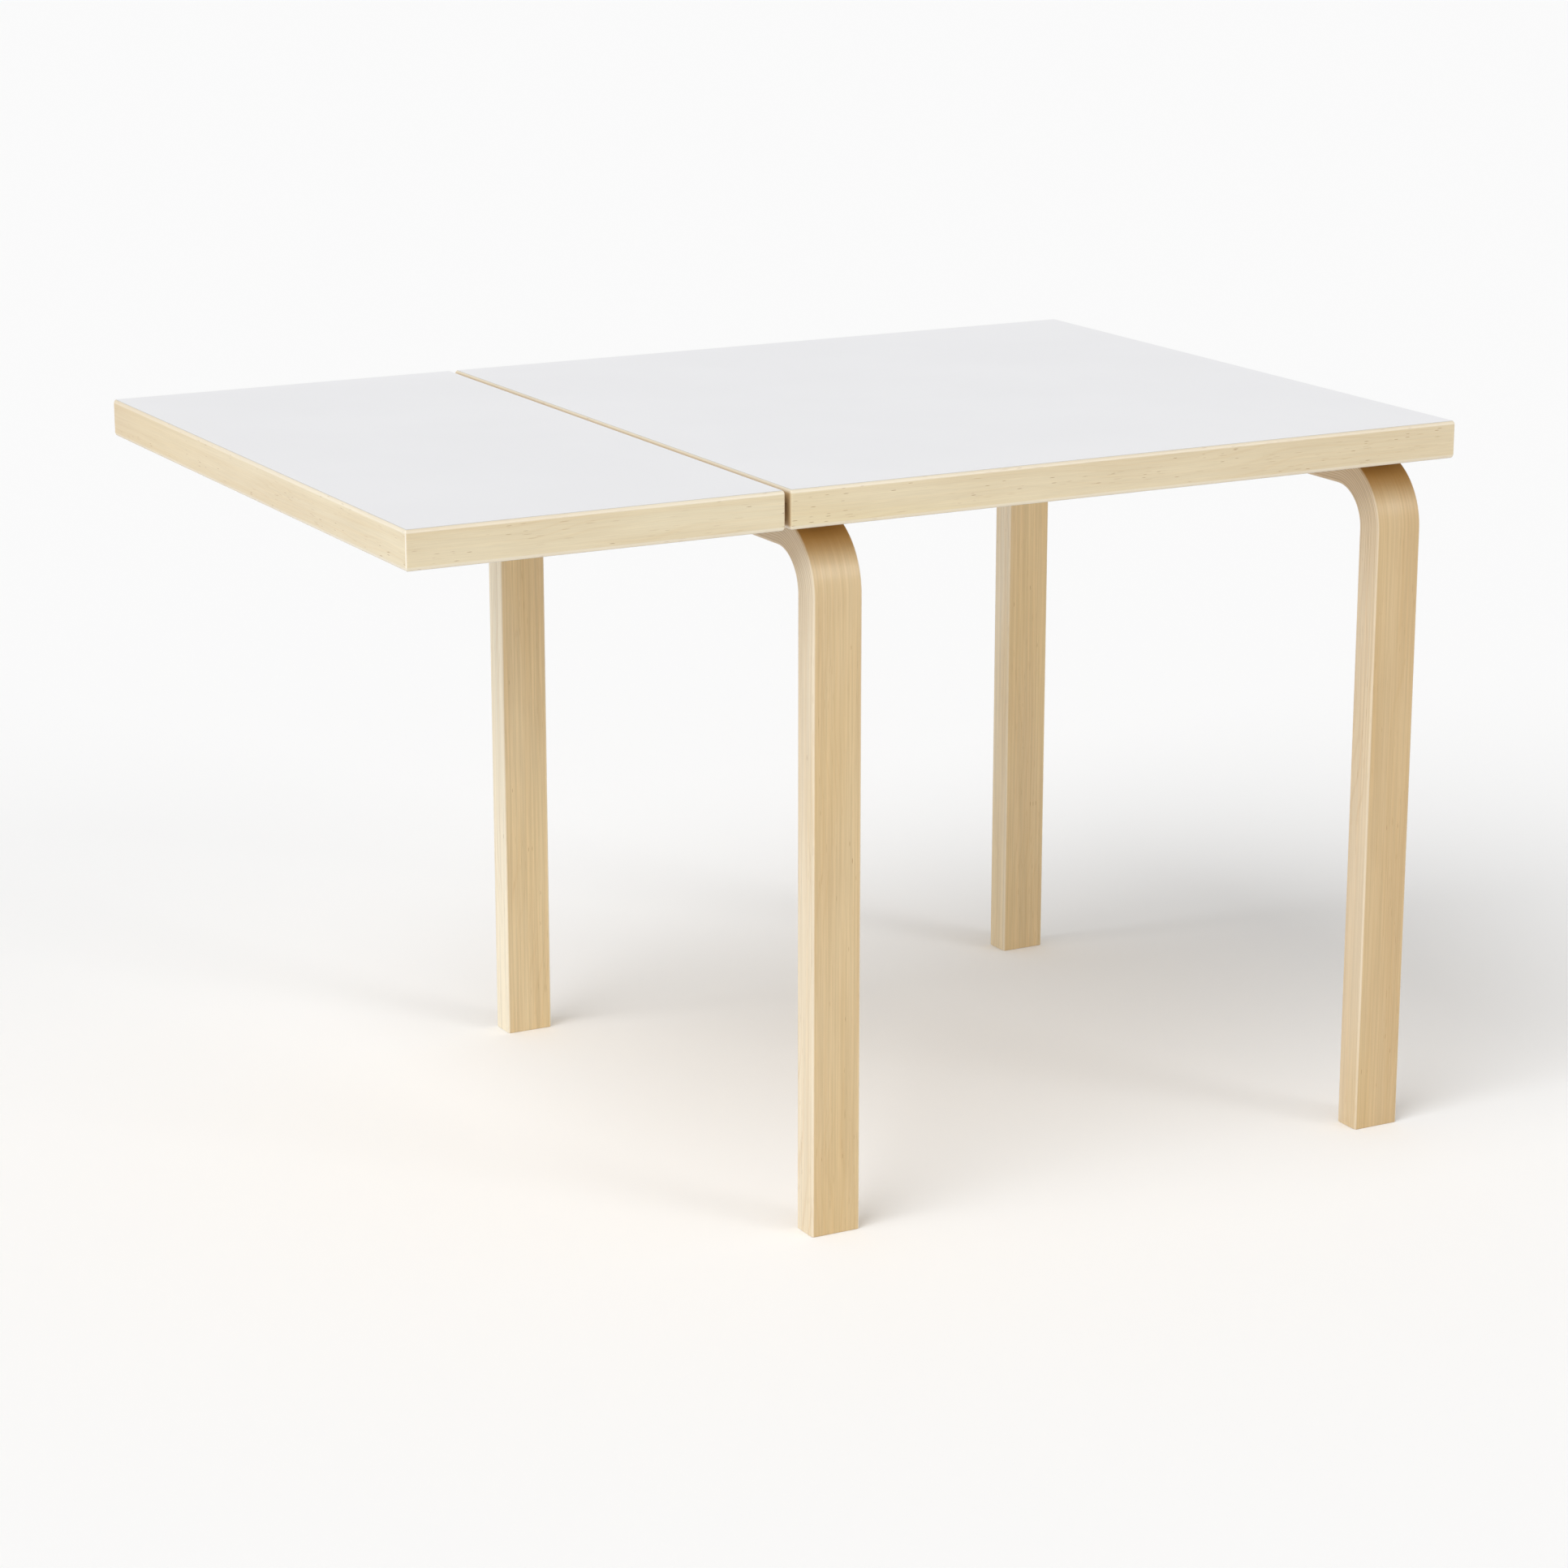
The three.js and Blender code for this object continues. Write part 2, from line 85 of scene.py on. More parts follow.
HINGE_DROP = 4.5 * MM  # underside of the tops to the hinge axis
KNUCKLE = 4.0 * MM
KNUCKLE_EDGE = 0.3 * MM
KNUCKLE_CLEARANCE = 0.8 * MM  # to the edge of the other plate
KNUCKLE_TAB_START = 1.6 * MM  # where a plate runs into its knuckle, from the axis
HINGE_PIN = 2.0 * MM
HINGE_PIN_HEAD = 3.0 * MM
HINGE_PIN_PLAY = 0.15 * MM
HINGE_SCREW_SPACING = 36.0 * MM
HINGE_SCREW_REACH = 16.8 * MM
SCREW_TURNS = 7  # seed of the chance turn of each screw's cross
LEG_SCREW_HEAD = {"radius": 5.0 * MM, "rise": 3.0 * MM, "rim": 0.5 * MM}
LEG_SCREW_SHANK = {"radius": 2.5 * MM, "end": 46.0 * MM, "tip": 52.0 * MM}
LEG_SCREW_CROSS = {"size": 2.3 * MM, "depth": 1.7 * MM}
SUNK_SCREW_HEAD = {"radius": 3.4 * MM, "rim": 0.3 * MM, "height": 1.9 * MM}
SUNK_SCREW_SHANK = {"radius": 1.6 * MM, "end": 13.0 * MM, "tip": 16.0 * MM}
SUNK_SCREW_CROSS = {"size": 1.8 * MM, "depth": 1.2 * MM}
CROSS_ARM = 0.24  # half width of a cross's arms as a share of its size
CROSS_TIP = 0.35  # how far the cross has narrowed at its full depth
SUNK_HOLE = 3.6 * MM  # radius of a hole round a sunk screw's head
PROP_RADIUS = 9.0 * MM
PROP_EDGE = 1.8 * MM
CROSSBAR_EDGE = 1.2 * MM
PROP_TENON = 5.0 * MM
PROP_TENON_EDGE = 0.5 * MM
PROP_TENON_HOLE = 5.1 * MM
PROP_PIN = 4.0 * MM
PROP_PIN_HEAD = {"radius": 6.0 * MM, "rise": 2.0 * MM}
PROP_PIN_HOLE = 4.3 * MM  # in an arm
LUG_PIN_HOLE = 4.25 * MM
BRACKET_HOLES = (6.0 * MM, 22.0 * MM)  # from the end of the bracket's base
BRACKET_CORNER = 3.0 * MM
LUG = 2.5 * MM
LUG_RADIUS = 8.8 * MM
LUG_FOOT = (0.2 * MM, 36.0 * MM)  # where a lug meets its base, from the base's low end
LUG_SINK = 1.0 * MM  # how far it runs into the base
LUG_CLEARANCE = 0.5 * MM  # each side of a prop arm
PLATE_EDGE = 0.4 * MM  # rounding of bent sheet steel
CLEAT_HOLE = 3.7 * MM
CLEAT_HOLE_INSET = 25.0 * MM
CLEAT_CORNER = 2.5 * MM
CLEAT_EDGE = 1.2 * MM
CLEAT_SCREW_SINK = 0.4 * MM

# how much darker colour is mixed in, from 0 to 1: along a band from its start to its end, and over a
# leg
BAND_DARKENING = {
    "main_lipping_front": (0.08, 0.17),
    "leaf_lipping_front": (0.12, 0.0),
    "leaf_lipping_left": (0.27, 0.03),
}
OTHER_BAND_DARKENING = (0.10, 0.10)
# partly painted light: the back-left leg, which sits in the top's shade, is left palest to make up for
# that shade
LEG_TONE_AND_SHADE = {"front_left": 0.19, "back_left": 0.0, "front_right": 0.32, "back_right": 0.14}
BEND_PAINTED_SHADE = 0.96  # painted shade on the outside of a bend, where it turns up under the top
SIDE_BEND_PAINTED_SHADE = 0.45  # painted shade on its narrow faces
BEND_SHADE_FROM = 0.35  # the upward part of the outer face's direction where the painted shade starts
BEND_SHADE_FADE = 0.5
SEAM_PAINTED_SHADE = 0.60  # painted shade on the two faces inside the seam

FLOOR_COLOUR = (0.965, 0.965, 0.965)
FLOOR_SIZE = 60.0
SKY_AT_HORIZON = 0.97
SKY_OVERHEAD = 0.34
# soft lights: the direction towards each, its strength, and how wide it is in degrees
LIGHTS = {
    "soft_key": ((-0.66, -0.24, 0.71), 1.73, 45.0),
    "soft_front": ((0.457, -0.79, 0.40), 0.42, 20.0),
}
CAMERA_PLACE = (-1.9447, -3.6251, 1.4604)
CAMERA_YAW = 28.34  # degrees from +Y towards +X
CAMERA_PITCH = 15.17  # degrees below level
CAMERA_LENS = 94.96  # millimetres, as the sensor
CAMERA_SENSOR = 36.0
# Each step of a board's seed moves it this far through one grain pattern. The four edge bands of a
# top, the four legs and the two arms each count on from the first of them.
GRAIN_SHIFT = (1.37, 0.291, 0.173)
GRAIN_SEED = {"legs": 1, "main": 10, "leaf": 20, "prop_arms": 30, "crossbar": 33, "cleat": 36}
SHEET_SEED = 40


# ---- mesh helpers ----
def finish_piece(name, mesh, materials, body, nodes, sharp=40.0):
    """Makes a smooth-shaded object of a mesh, rides it on its body and lets it stand for its nodes."""
    mesh.materials.clear()
    for material in materials:
        mesh.materials.append(material)
    for polygon in mesh.polygons:
        polygon.use_smooth = True
    mesh.set_sharp_from_angle(angle=math.radians(sharp))
    piece = bpy.data.objects.new(name, mesh)
    bpy.context.scene.collection.objects.link(piece)
    weighted = piece.modifiers.new("even_shading", "WEIGHTED_NORMAL")
    weighted.keep_sharp = True
    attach(piece, body)
    if nodes:
        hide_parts(*nodes)
    return piece


def mesh_from(name, vertices, faces):
    mesh = bpy.data.meshes.new(name)
    mesh.from_pydata([tuple(v) for v in vertices], [], faces)
    mesh.update()
    return mesh


def loft(name, loops, cap=True):
    """Joins closed loops of equal length with quads; the ends are closed with one face each."""
    count = len(loops[0])
    vertices = [point for loop in loops for point in loop]
    faces = []
    for row in range(len(loops) - 1):
        for i in range(count):
            j = (i + 1) % count
            here, above = row * count, (row + 1) * count
            faces.append((here + i, here + j, above + j, above + i))
    if cap:
        faces.append(tuple(reversed(range(count))))
        last = (len(loops) - 1) * count
        faces.append(tuple(range(last, last + count)))
    return mesh_from(name, vertices, faces)


def set_points(mesh, name, kind, values):
    attribute = mesh.attributes.new(name, kind, "POINT")
    if kind == "FLOAT_VECTOR":
        flat = [number for value in values for number in value]
        attribute.data.foreach_set("vector", flat)
    else:
        attribute.data.foreach_set("value", values)


def set_grain(mesh, along, across, depth, seed):
    """Stores where each point lies in its board: along the fibres, across them and into the wood."""
    shift = Vector([seed * step for step in GRAIN_SHIFT])
    values = []
    for vertex in mesh.vertices:
        point = vertex.co
        values.append(Vector((along(point), across(point), depth(point))) + shift)
    set_points(mesh, "grain", "FLOAT_VECTOR", values)


def turned_mesh(name, profile, segments=32):
    """A turned solid about Z from (radius, height) points that start and end on the axis."""
    rings = profile[1:-1]
    vertices = [Vector((0, 0, profile[0][1]))]
    for radius, height in rings:
        for i in range(segments):
            angle = 2 * math.pi * i / segments
            vertices.append(Vector((radius * math.cos(angle), radius * math.sin(angle), height)))
    vertices.append(Vector((0, 0, profile[-1][1])))
    faces = []
    for i in range(segments):
        faces.append((0, 1 + (i + 1) % segments, 1 + i))
    for row in range(len(rings) - 1):
        start = 1 + row * segments
        for i in range(segments):
            j = (i + 1) % segments
            faces.append((start + i, start + j, start + segments + j, start + segments + i))
    last = len(vertices) - 1
    start = 1 + (len(rings) - 1) * segments
    for i in range(segments):
        faces.append((last, start + i, start + (i + 1) % segments))
    return mesh_from(name, vertices, faces)


def welded(mesh):
    """The mesh with points in one place joined and its faces turned outward."""
    work = bmesh.new()
    work.from_mesh(mesh)
    bmesh.ops.remove_doubles(work, verts=work.verts, dist=WELD)
    bmesh.ops.recalc_face_normals(work, faces=work.faces)
    work.to_mesh(mesh)
    work.free()
    return mesh


def plate_mesh(name, outlines, thickness, edge):
    """A flat plate in XY about z = 0 from an outer outline and hole outlines, with rounded edges."""
    curve = bpy.data.curves.new(name, "CURVE")
    curve.dimensions = "2D"
    curve.fill_mode = "BOTH"
    curve.extrude = thickness / 2 - edge
    curve.bevel_depth = edge
    curve.bevel_resolution = 3
    curve.offset = -edge
    for outline in outlines:
        spline = curve.splines.new("POLY")
        spline.points.add(len(outline) - 1)
        for point, (x, y) in zip(spline.points, outline):
            point.co = (x, y, 0, 1)
        spline.use_cyclic_u = True
    holder = bpy.data.objects.new(name, curve)
    bpy.context.scene.collection.objects.link(holder)
    bpy.context.view_layer.update()
    evaluated = holder.evaluated_get(bpy.context.evaluated_depsgraph_get())
    mesh = bpy.data.meshes.new_from_object(evaluated)
    bpy.data.objects.remove(holder)
    bpy.data.curves.remove(curve)
    return welded(mesh)


def circle(x, y, radius, segments=28):
    step = 2 * math.pi / segments
    return [(x + radius * math.cos(i * step), y + radius * math.sin(i * step)) for i in range(segments)]


def rounded_outline(low, high, radius, segments=5):
    """A rectangle with round corners, from (x, y) low to (x, y) high."""
    centres = [
        (high[0] - radius, high[1] - radius, 0),
        (low[0] + radius, high[1] - radius, 90),
        (low[0] + radius, low[1] + radius, 180),
        (high[0] - radius, low[1] + radius, 270),
    ]
    points = []
    for x, y, start in centres:
        for i in range(segments + 1):
            angle = math.radians(start + 90 * i / segments)
            points.append((x + radius * math.cos(angle), y + radius * math.sin(angle)))
    return points


def joined(name, parts):
    """One mesh out of several, each a (mesh, matrix) pair."""
    work = bmesh.new()
    for mesh, matrix in parts:
        copy = mesh.copy()
        copy.transform(matrix)
        work.from_mesh(copy)
        bpy.data.meshes.remove(copy)
    result = bpy.data.meshes.new(name)
    work.to_mesh(result)
    work.free()
    return result


def cut(mesh, cutter):
    """The mesh with the cutter's shape taken out of it."""
    objects = [bpy.data.objects.new("cut_" + m.name, m) for m in (mesh, cutter)]
    for item in objects:
        bpy.context.scene.collection.objects.link(item)
    boolean = objects[0].modifiers.new("cut", "BOOLEAN")
    boolean.operation = "DIFFERENCE"
    boolean.solver = "EXACT"
    boolean.object = objects[1]
    bpy.context.view_layer.update()
    evaluated = objects[0].evaluated_get(bpy.context.evaluated_depsgraph_get())
    result = bpy.data.meshes.new_from_object(evaluated)
    for item in objects:
        bpy.data.objects.remove(item)
    return result


def placed(mesh, matrix):
    copy = mesh.copy()
    copy.transform(matrix)
    return copy


# ---- material helpers ----
class Shader:
    """Adds nodes to one material. A value may be a number, a colour or another node's output."""

    def __init__(self, name, constants):
        self.material = bpy.data.materials.new(name)
        self.material.use_nodes = True
        self.tree = self.material.node_tree
        self.surface = self.tree.nodes["Principled BSDF"]
        for socket, value in constants.items():
            self.surface.inputs[socket].default_value = value

    def plug(self, socket, value):
        if isinstance(value, bpy.types.NodeSocket):
            self.tree.links.new(value, socket)
        else:
            socket.default_value = value

    def node(self, kind, inputs=None, **settings):
        made = self.tree.nodes.new("ShaderNode" + kind)
        for key, value in settings.items():
            setattr(made, key, value)
        for key, value in (inputs or {}).items():
            self.plug(made.inputs[key], value)
        return made

    def math(self, operation, a, b=0.0):
        return self.node("Math", {0: a, 1: b}, operation=operation).outputs[0]

    def times(self, a, b):
        return self.math("MULTIPLY", a, b)

    def fade(self, value, low, high, out_low=0.0, out_high=1.0):
        """A smooth step from out_low to out_high while the value goes from low to high."""
        inputs = {"Value": value, "From Min": low, "From Max": high}
        inputs.update({"To Min": out_low, "To Max": out_high})
        return self.node("MapRange", inputs, interpolation_type="SMOOTHSTEP").outputs["Result"]

    def colour(self, factor, a, b):
        """A mix of two colours: a where the factor is 0, b where it is 1."""
        made = self.node("Mix", data_type="RGBA")
        self.plug(made.inputs[0], factor)
        for socket, value in ((made.inputs[6], a), (made.inputs[7], b)):
            linked = isinstance(value, bpy.types.NodeSocket)
            self.plug(socket, value if linked else (*value, 1.0))
        return made.outputs[2]

    def attribute(self, name):
        return self.node("Attribute", attribute_name=name)

    def stretched(self, vector, scale):
        inputs = {0: vector, 1: scale}
        return self.node("VectorMath", inputs, operation="MULTIPLY").outputs["Vector"]

    def noise(self, vector, scale, detail=2.0, rough=0.5):
        inputs = {"Vector": self.stretched(vector, scale), "Scale": 1.0}
        inputs.update({"Detail": detail, "Roughness": rough})
        return self.node("TexNoise", inputs).outputs["Fac"]

    def bump(self, height, distance, strength=1.0):
        inputs = {"Height": height, "Distance": distance, "Strength": strength}
        made = self.node("Bump", inputs)
        self.plug(self.surface.inputs["Normal"], made.outputs["Normal"])


# Birch grain in features per metre: along the fibres, across them, into the wood.
CLOUDS = (4.0, 24.0, 24.0)
YELLOWING = (2.6, 14.0, 14.0)
WANDER = (5.0, 16.0, 16.0)
BANDS = (2.2, 110.0, 110.0)
STRIPES = (5.0, 430.0, 430.0)
FIBRES = (28.0, 1500.0, 1500.0)
PORES = (130.0, 3200.0, 3200.0)
CLUSTERS = (9.0, 40.0, 40.0)
FINE_DASHES = (34.0, 520.0, 520.0)
PITH_FLECKS = (58.0, 640.0, 640.0)
RING_PITCH = 6.5 * MM
RING_WANDER = 0.05
RING_SLOPE = 0.7  # across the board for each step into it

# Colours drawn over the wood, and how strongly. A layer fades in between two values of a noise,
# most of which lies between 0.3 and 0.7, or of a mask.
YELLOWER = (1.03, 0.99, 0.84)
BROWNER = (0.92, 0.82, 0.68)
BAND_STRENGTH = 0.20
RING_STRENGTH = 0.22
YELLOW_STRENGTH = 0.55
DASH_COLOUR, DASH_STRENGTH = (0.42, 0.27, 0.13), 0.44
DASH_SIZE, DASH_CHANCE = 0.20, 0.55
FLECK_COLOUR, FLECK_STRENGTH = (0.28, 0.14, 0.055), 0.80
FLECK_SIZE = 0.19
# darker colour, for the tone of the bands and legs and for painted shade on the bends and in the seam
DARK_TONE_AND_SHADE_COLOUR = (0.38, 0.19, 0.035)
# painted highlight on the rounded edges and corners, partly also paler sanded wood
WORN_AND_HIGHLIGHT_COLOUR = (0.90, 0.85, 0.76)
WORN_AND_HIGHLIGHT_STRENGTH = (0.38, 0.20)  # on pale wood, and where the colour is deep
VENEER_COLOUR, VENEER_STRENGTH = (0.90, 0.80, 0.62), 0.85
SAW_CUT_DEPTH, SAW_CUT_STRENGTH = 0.80, 0.75


def tinted(colour, factors):
    return [c * k for c, k in zip(colour, factors)]


def shaded(colour, factor):
    return [c * factor for c in colour]


def dashes(s, grain, scale, size, chance, ragged):
    """A mask of short dark strokes along the grain; chance is the share of cells that hold one."""
    cells = s.node("TexVoronoi", {"Vector": s.stretched(grain, scale), "Scale": 1.0}, feature="F1")
    pick = s.node("SeparateXYZ", {0: cells.outputs["Color"]}).outputs["X"]
    distance = s.math("ADD", cells.outputs["Distance"], s.times(ragged, 0.5 * size))
    shape = s.fade(distance, 0.8 * size, 1.35 * size, 1.0, 0.0)
    return s.times(shape, s.fade(pick, 1.0 - chance, 1.01 - chance))


def veneer_lines(s, face, grain, on_side, tan):
    """Veneers glued into the saw cuts of the bend: fine pale lines on the side faces."""
    depth = s.node("SeparateXYZ", {0: grain}).outputs["Z"]
    row = s.math("SUBTRACT", s.math("DIVIDE", depth, KERF_PITCH), 0.5)
    nearest = s.math("ROUND", row)
    off = s.math("ABSOLUTE", s.math("SUBTRACT", row, nearest))
    line = s.fade(off, *VENEER_LINE, 1.0, 0.0)
    shadow = s.math("SUBTRACT", s.fade(off, *SAW_CUT_SHADE, 1.0, 0.0), line)
    chance = s.node("TexWhiteNoise", {"W": nearest}, noise_dimensions="1D").outputs["Value"]
    run = s.attribute("bend_run").outputs["Fac"]
    reach = s.math("ADD", s.times(chance, KERF_SPREAD), run)
    shown = s.times(s.fade(reach, 0.0, KERF_FADE), on_side)
    shadow = s.times(s.times(shadow, shown), SAW_CUT_STRENGTH)
    face = s.colour(shadow, face, shaded(tan, SAW_CUT_DEPTH))
    return s.colour(s.times(s.times(line, shown), VENEER_STRENGTH), face, VENEER_COLOUR)


def growth_rings(s, face, grain, clouds, brown):
    """Faint lines that wander along the board."""
    _, across, depth = s.node("SeparateXYZ", {0: grain}).outputs
    wander = s.times(s.noise(grain, WANDER, 1.0), RING_WANDER)
    place = s.math("ADD", s.math("ADD", across, s.times(depth, RING_SLOPE)), wander)
    wave = s.math("SINE", s.times(place, 2 * math.pi / RING_PITCH))
    ring = s.times(s.fade(wave, 0.55, 1.0), s.fade(clouds, 0.40, 0.60))
    return s.colour(s.times(ring, RING_STRENGTH), face, brown)


def striped(s, face, grain, fibres, strength):
    """Lighter and darker stripes and fibres along the grain."""
    stripe = s.fade(s.noise(grain, STRIPES, 2.0, 0.6), 0.3, 0.7, 1.0 - strength, 1.0 + strength)
    shade = s.times(stripe, s.fade(fibres, 0.3, 0.7, 0.96, 1.03))
    return s.node("VectorMath", {0: face, 3: shade}, operation="SCALE").outputs["Vector"]


def birch(name, tones, flecks, stripes, layered=False):
    """Lacquered birch: soft clouds and growth rings, stripes, fibres and small brown pith flecks.

    tones holds the pale wood, the tan wood and the wood of the narrow faces; flecks is the share
    of cells with a pith fleck.
    """
    pale, tan, side = tones
    s = Shader(name, {"IOR": 1.48, "Coat Weight": 0.25, "Coat Roughness": 0.22})
    grain = s.attribute("grain").outputs["Vector"]
    on_side = s.attribute("side").outputs["Fac"]

    clouds = s.noise(grain, CLOUDS, 2.0)
    bands = s.noise(grain, BANDS, 2.0, 0.55)
    fibres = s.noise(grain, FIBRES, 2.0, 0.6)
    pores = s.noise(grain, PORES, 1.0)

    face = s.colour(s.fade(clouds, 0.32, 0.68), pale, tan)
    face = s.colour(on_side, face, side)
    brown = tinted(tan, BROWNER)
    yellowing = s.fade(s.noise(grain, YELLOWING, 1.0), 0.45, 0.75, 0.0, YELLOW_STRENGTH)
    face = s.colour(yellowing, face, tinted(pale, YELLOWER))
    face = s.colour(s.fade(bands, 0.40, 0.72, 0.0, BAND_STRENGTH), face, brown)
    face = growth_rings(s, face, grain, clouds, brown)
    face = striped(s, face, grain, fibres, stripes)

    fine = dashes(s, grain, FINE_DASHES, DASH_SIZE, DASH_CHANCE, pores)
    fine = s.times(fine, s.fade(clouds, 0.40, 0.62, 0.2, 1.0))
    face = s.colour(s.times(fine, DASH_STRENGTH), face, DASH_COLOUR)
    fleck = dashes(s, grain, PITH_FLECKS, FLECK_SIZE, flecks, pores)
    fleck = s.times(fleck, s.fade(s.noise(grain, CLUSTERS, 1.0), 0.36, 0.54))
    face = s.colour(s.times(fleck, FLECK_STRENGTH), face, FLECK_COLOUR)

    if layered:
        face = veneer_lines(s, face, grain, on_side, tan)
    # darker tone of the bands and legs, and painted shade on the bends of the legs and inside the seam
    tone_and_shade = s.attribute("tone_and_shade").outputs["Fac"]
    face = s.colour(tone_and_shade, face, DARK_TONE_AND_SHADE_COLOUR)

    # the rounded edges and upright corners are painted paler: a painted highlight, partly also paler
    # sanded wood
    worn_and_highlight = s.times(s.attribute("arris").outputs["Fac"], s.fade(tone_and_shade, 0.0, 0.5, *WORN_AND_HIGHLIGHT_STRENGTH))
    face = s.colour(worn_and_highlight, face, WORN_AND_HIGHLIGHT_COLOUR)

    s.plug(s.surface.inputs["Base Color"], face)
    rough = s.math("ADD", s.fade(bands, 0.25, 0.75, 0.34, 0.44), s.times(fleck, 0.12))
    s.plug(s.surface.inputs["Roughness"], rough)
    height = s.math("SUBTRACT", s.math("ADD", fibres, s.times(pores, 0.6)), fleck)
    s.bump(height, 0.05 * MM, 0.35)
    return s.material


def laminate(name, colour, rough):
    """Matt pressed laminate with a very fine even texture."""
    s = Shader(name, {"IOR": 1.5, "Specular IOR Level": 0.3})
    place = s.node("TexCoord").outputs["Object"]
    texture = s.noise(place, (2600.0, 2600.0, 2600.0), 2.0)
    cloud = s.noise(place, (5.0, 5.0, 5.0), 3.0)
    face = s.colour(s.fade(cloud, 0.3, 0.7), colour, shaded(colour, 0.985))
    face = s.colour(s.fade(texture, 0.55, 0.8, 0.0, 0.10), face, shaded(colour, 0.93))
    s.plug(s.surface.inputs["Base Color"], face)
    s.plug(s.surface.inputs["Roughness"], s.fade(cloud, 0.25, 0.75, *rough))
    s.bump(texture, 0.02 * MM, 0.4)
    return s.material


def chipboard():
    """Pressed chips, each with its own shade of tan."""
    s = Shader("board_core", {"Roughness": 0.9})
    place = s.node("TexCoord").outputs["Object"]
    cells = {"Vector": s.stretched(place, (220.0, 220.0, 700.0)), "Scale": 1.0}
    chips = s.node("TexVoronoi", cells, feature="F1")
    chip = s.node("SeparateXYZ", {0: chips.outputs["Color"]}).outputs["X"]
    face = s.colour(chip, (0.42, 0.29, 0.16), (0.72, 0.56, 0.36))
    s.plug(s.surface.inputs["Base Color"], face)
    s.bump(chips.outputs["Distance"], 0.2 * MM, 0.6)
    return s.material


def metal(name, colour, rough, brush):
    """Bright metal with fine brush marks and a little uneven polish."""
    s = Shader(name, {"Metallic": 1.0})
    place = s.node("TexCoord").outputs["Object"]
    marks = s.noise(place, brush, 3.0, 0.65)
    cloud = s.noise(place, (60.0, 60.0, 60.0), 2.0)
    face = s.colour(s.fade(cloud, 0.3, 0.7), colour, shaded(colour, 0.88))
    s.plug(s.surface.inputs["Base Color"], face)
    s.plug(s.surface.inputs["Roughness"], s.fade(marks, 0.3, 0.7, *rough))
    s.bump(marks, 0.02 * MM, 0.3)
    return s.material


LIPPING_TONES = ((0.755, 0.665, 0.47), (0.70, 0.60, 0.41), (0.755, 0.665, 0.47))
LEG_TONES = ((0.69, 0.545, 0.325), (0.655, 0.50, 0.285), (0.82, 0.73, 0.555))
BAR_TONES = ((0.76, 0.62, 0.40), (0.70, 0.55, 0.33), (0.76, 0.62, 0.40))
BACKING_TONES = ((0.66, 0.52, 0.33), (0.60, 0.45, 0.27), (0.66, 0.52, 0.33))

LIPPING_BIRCH = birch("birch_lipping", LIPPING_TONES, flecks=0.30, stripes=0.022)
LEG_BIRCH = birch("birch_leg", LEG_TONES, flecks=0.035, stripes=0.08, layered=True)
BAR_BIRCH = birch("birch_bar", BAR_TONES, flecks=0.04, stripes=0.05)
BACKING = birch("birch_backing", BACKING_TONES, flecks=0.05, stripes=0.04)
WHITE = laminate("white_laminate", (0.855, 0.855, 0.87), rough=(0.44, 0.52))
SHEET_EDGE = laminate("laminate_edge", (0.62, 0.60, 0.55), rough=(0.45, 0.55))
CORE = chipboard()
EVEN, BRUSHED = (900.0, 900.0, 900.0), (300.0, 4000.0, 4000.0)  # marks per metre along each axis
STEEL = metal("satin_steel", (0.62, 0.62, 0.61), rough=(0.24, 0.38), brush=BRUSHED)
ZINC = metal("bright_zinc", (0.74, 0.73, 0.70), rough=(0.22, 0.34), brush=EVEN)


# ---- tops ----
def top_sides(low, high):
    """The four sides, going round: name, start corner, direction along, direction inward, length."""
    (x0, y0), (x1, y1) = (low.x, low.y), (high.x, high.y)
    return [
        ("front", Vector((x0, y0, 0)), Vector((1, 0, 0)), Vector((0, 1, 0)), x1 - x0),
        ("right", Vector((x1, y0, 0)), Vector((0, 1, 0)), Vector((-1, 0, 0)), y1 - y0),
        ("back", Vector((x1, y1, 0)), Vector((-1, 0, 0)), Vector((0, -1, 0)), x1 - x0),
        ("left", Vector((x0, y1, 0)), Vector((0, -1, 0)), Vector((1, 0, 0)), y1 - y0),
    ]


def side_row(side, inset, height):
    """Points along one side of a top at one inset and height, from mitre to mitre."""
    _, start, along, inward, length = side
    radius = max(CORNER - inset, LEAST_CORNER)
    reach = inset + radius
    points = []
    for i in range(TURNS + 1):
        turn = math.radians(45 * (1 - i / TURNS))
        away = -inward * math.cos(turn) - along * math.sin(turn)
        points.append(start + (along + inward) * reach + away * radius)
    for i in range(TURNS + 1):
        turn = math.radians(45 * i / TURNS)
        away = -inward * math.cos(turn) + along * math.sin(turn)
        points.append(start + along * (length - reach) + inward * reach + away * radius)
    return [point + Vector((0, 0, height)) for point in points]


def arris_point(drop):
    """Inset of the rounded edge at some depth below its flat face."""
    rise = max(ARRIS_HEIGHT - drop, 0.0)
    return ARRIS_RADIUS - math.sqrt(ARRIS_RADIUS**2 - rise**2)


def arris_rows(start, end, steps):
    """(inset, drop) pairs down the rounded edge, closer together near its flat face."""
    rows = []
    for i in range(steps + 1):
        share = i / steps
        drop = start + (end - start) * share * (1 + share) / 2
        rows.append((arris_point(drop), drop))
    return rows


def lipping_profile(bottom, top):
    """The band's cross-section as (inset, height, arris) going round it; arris is 1 where rounded."""
    outside = arris_rows(SHEET_RIM + GLUE_LINE, ARRIS_HEIGHT, steps=5)
    upper = [(inset, top - drop, 1.0) for inset, drop in outside]
    lower = [(inset, bottom + drop, 1.0) for inset, drop in reversed(outside)]
    upper[-1] = (0.0, top - ARRIS_HEIGHT, 0.0)
    lower[0] = (0.0, bottom + ARRIS_HEIGHT, 0.0)
    inner = [(LIPPING, lower[-1][1], 0.0), (LIPPING, upper[0][1], 0.0)]
    return upper + lower + inner


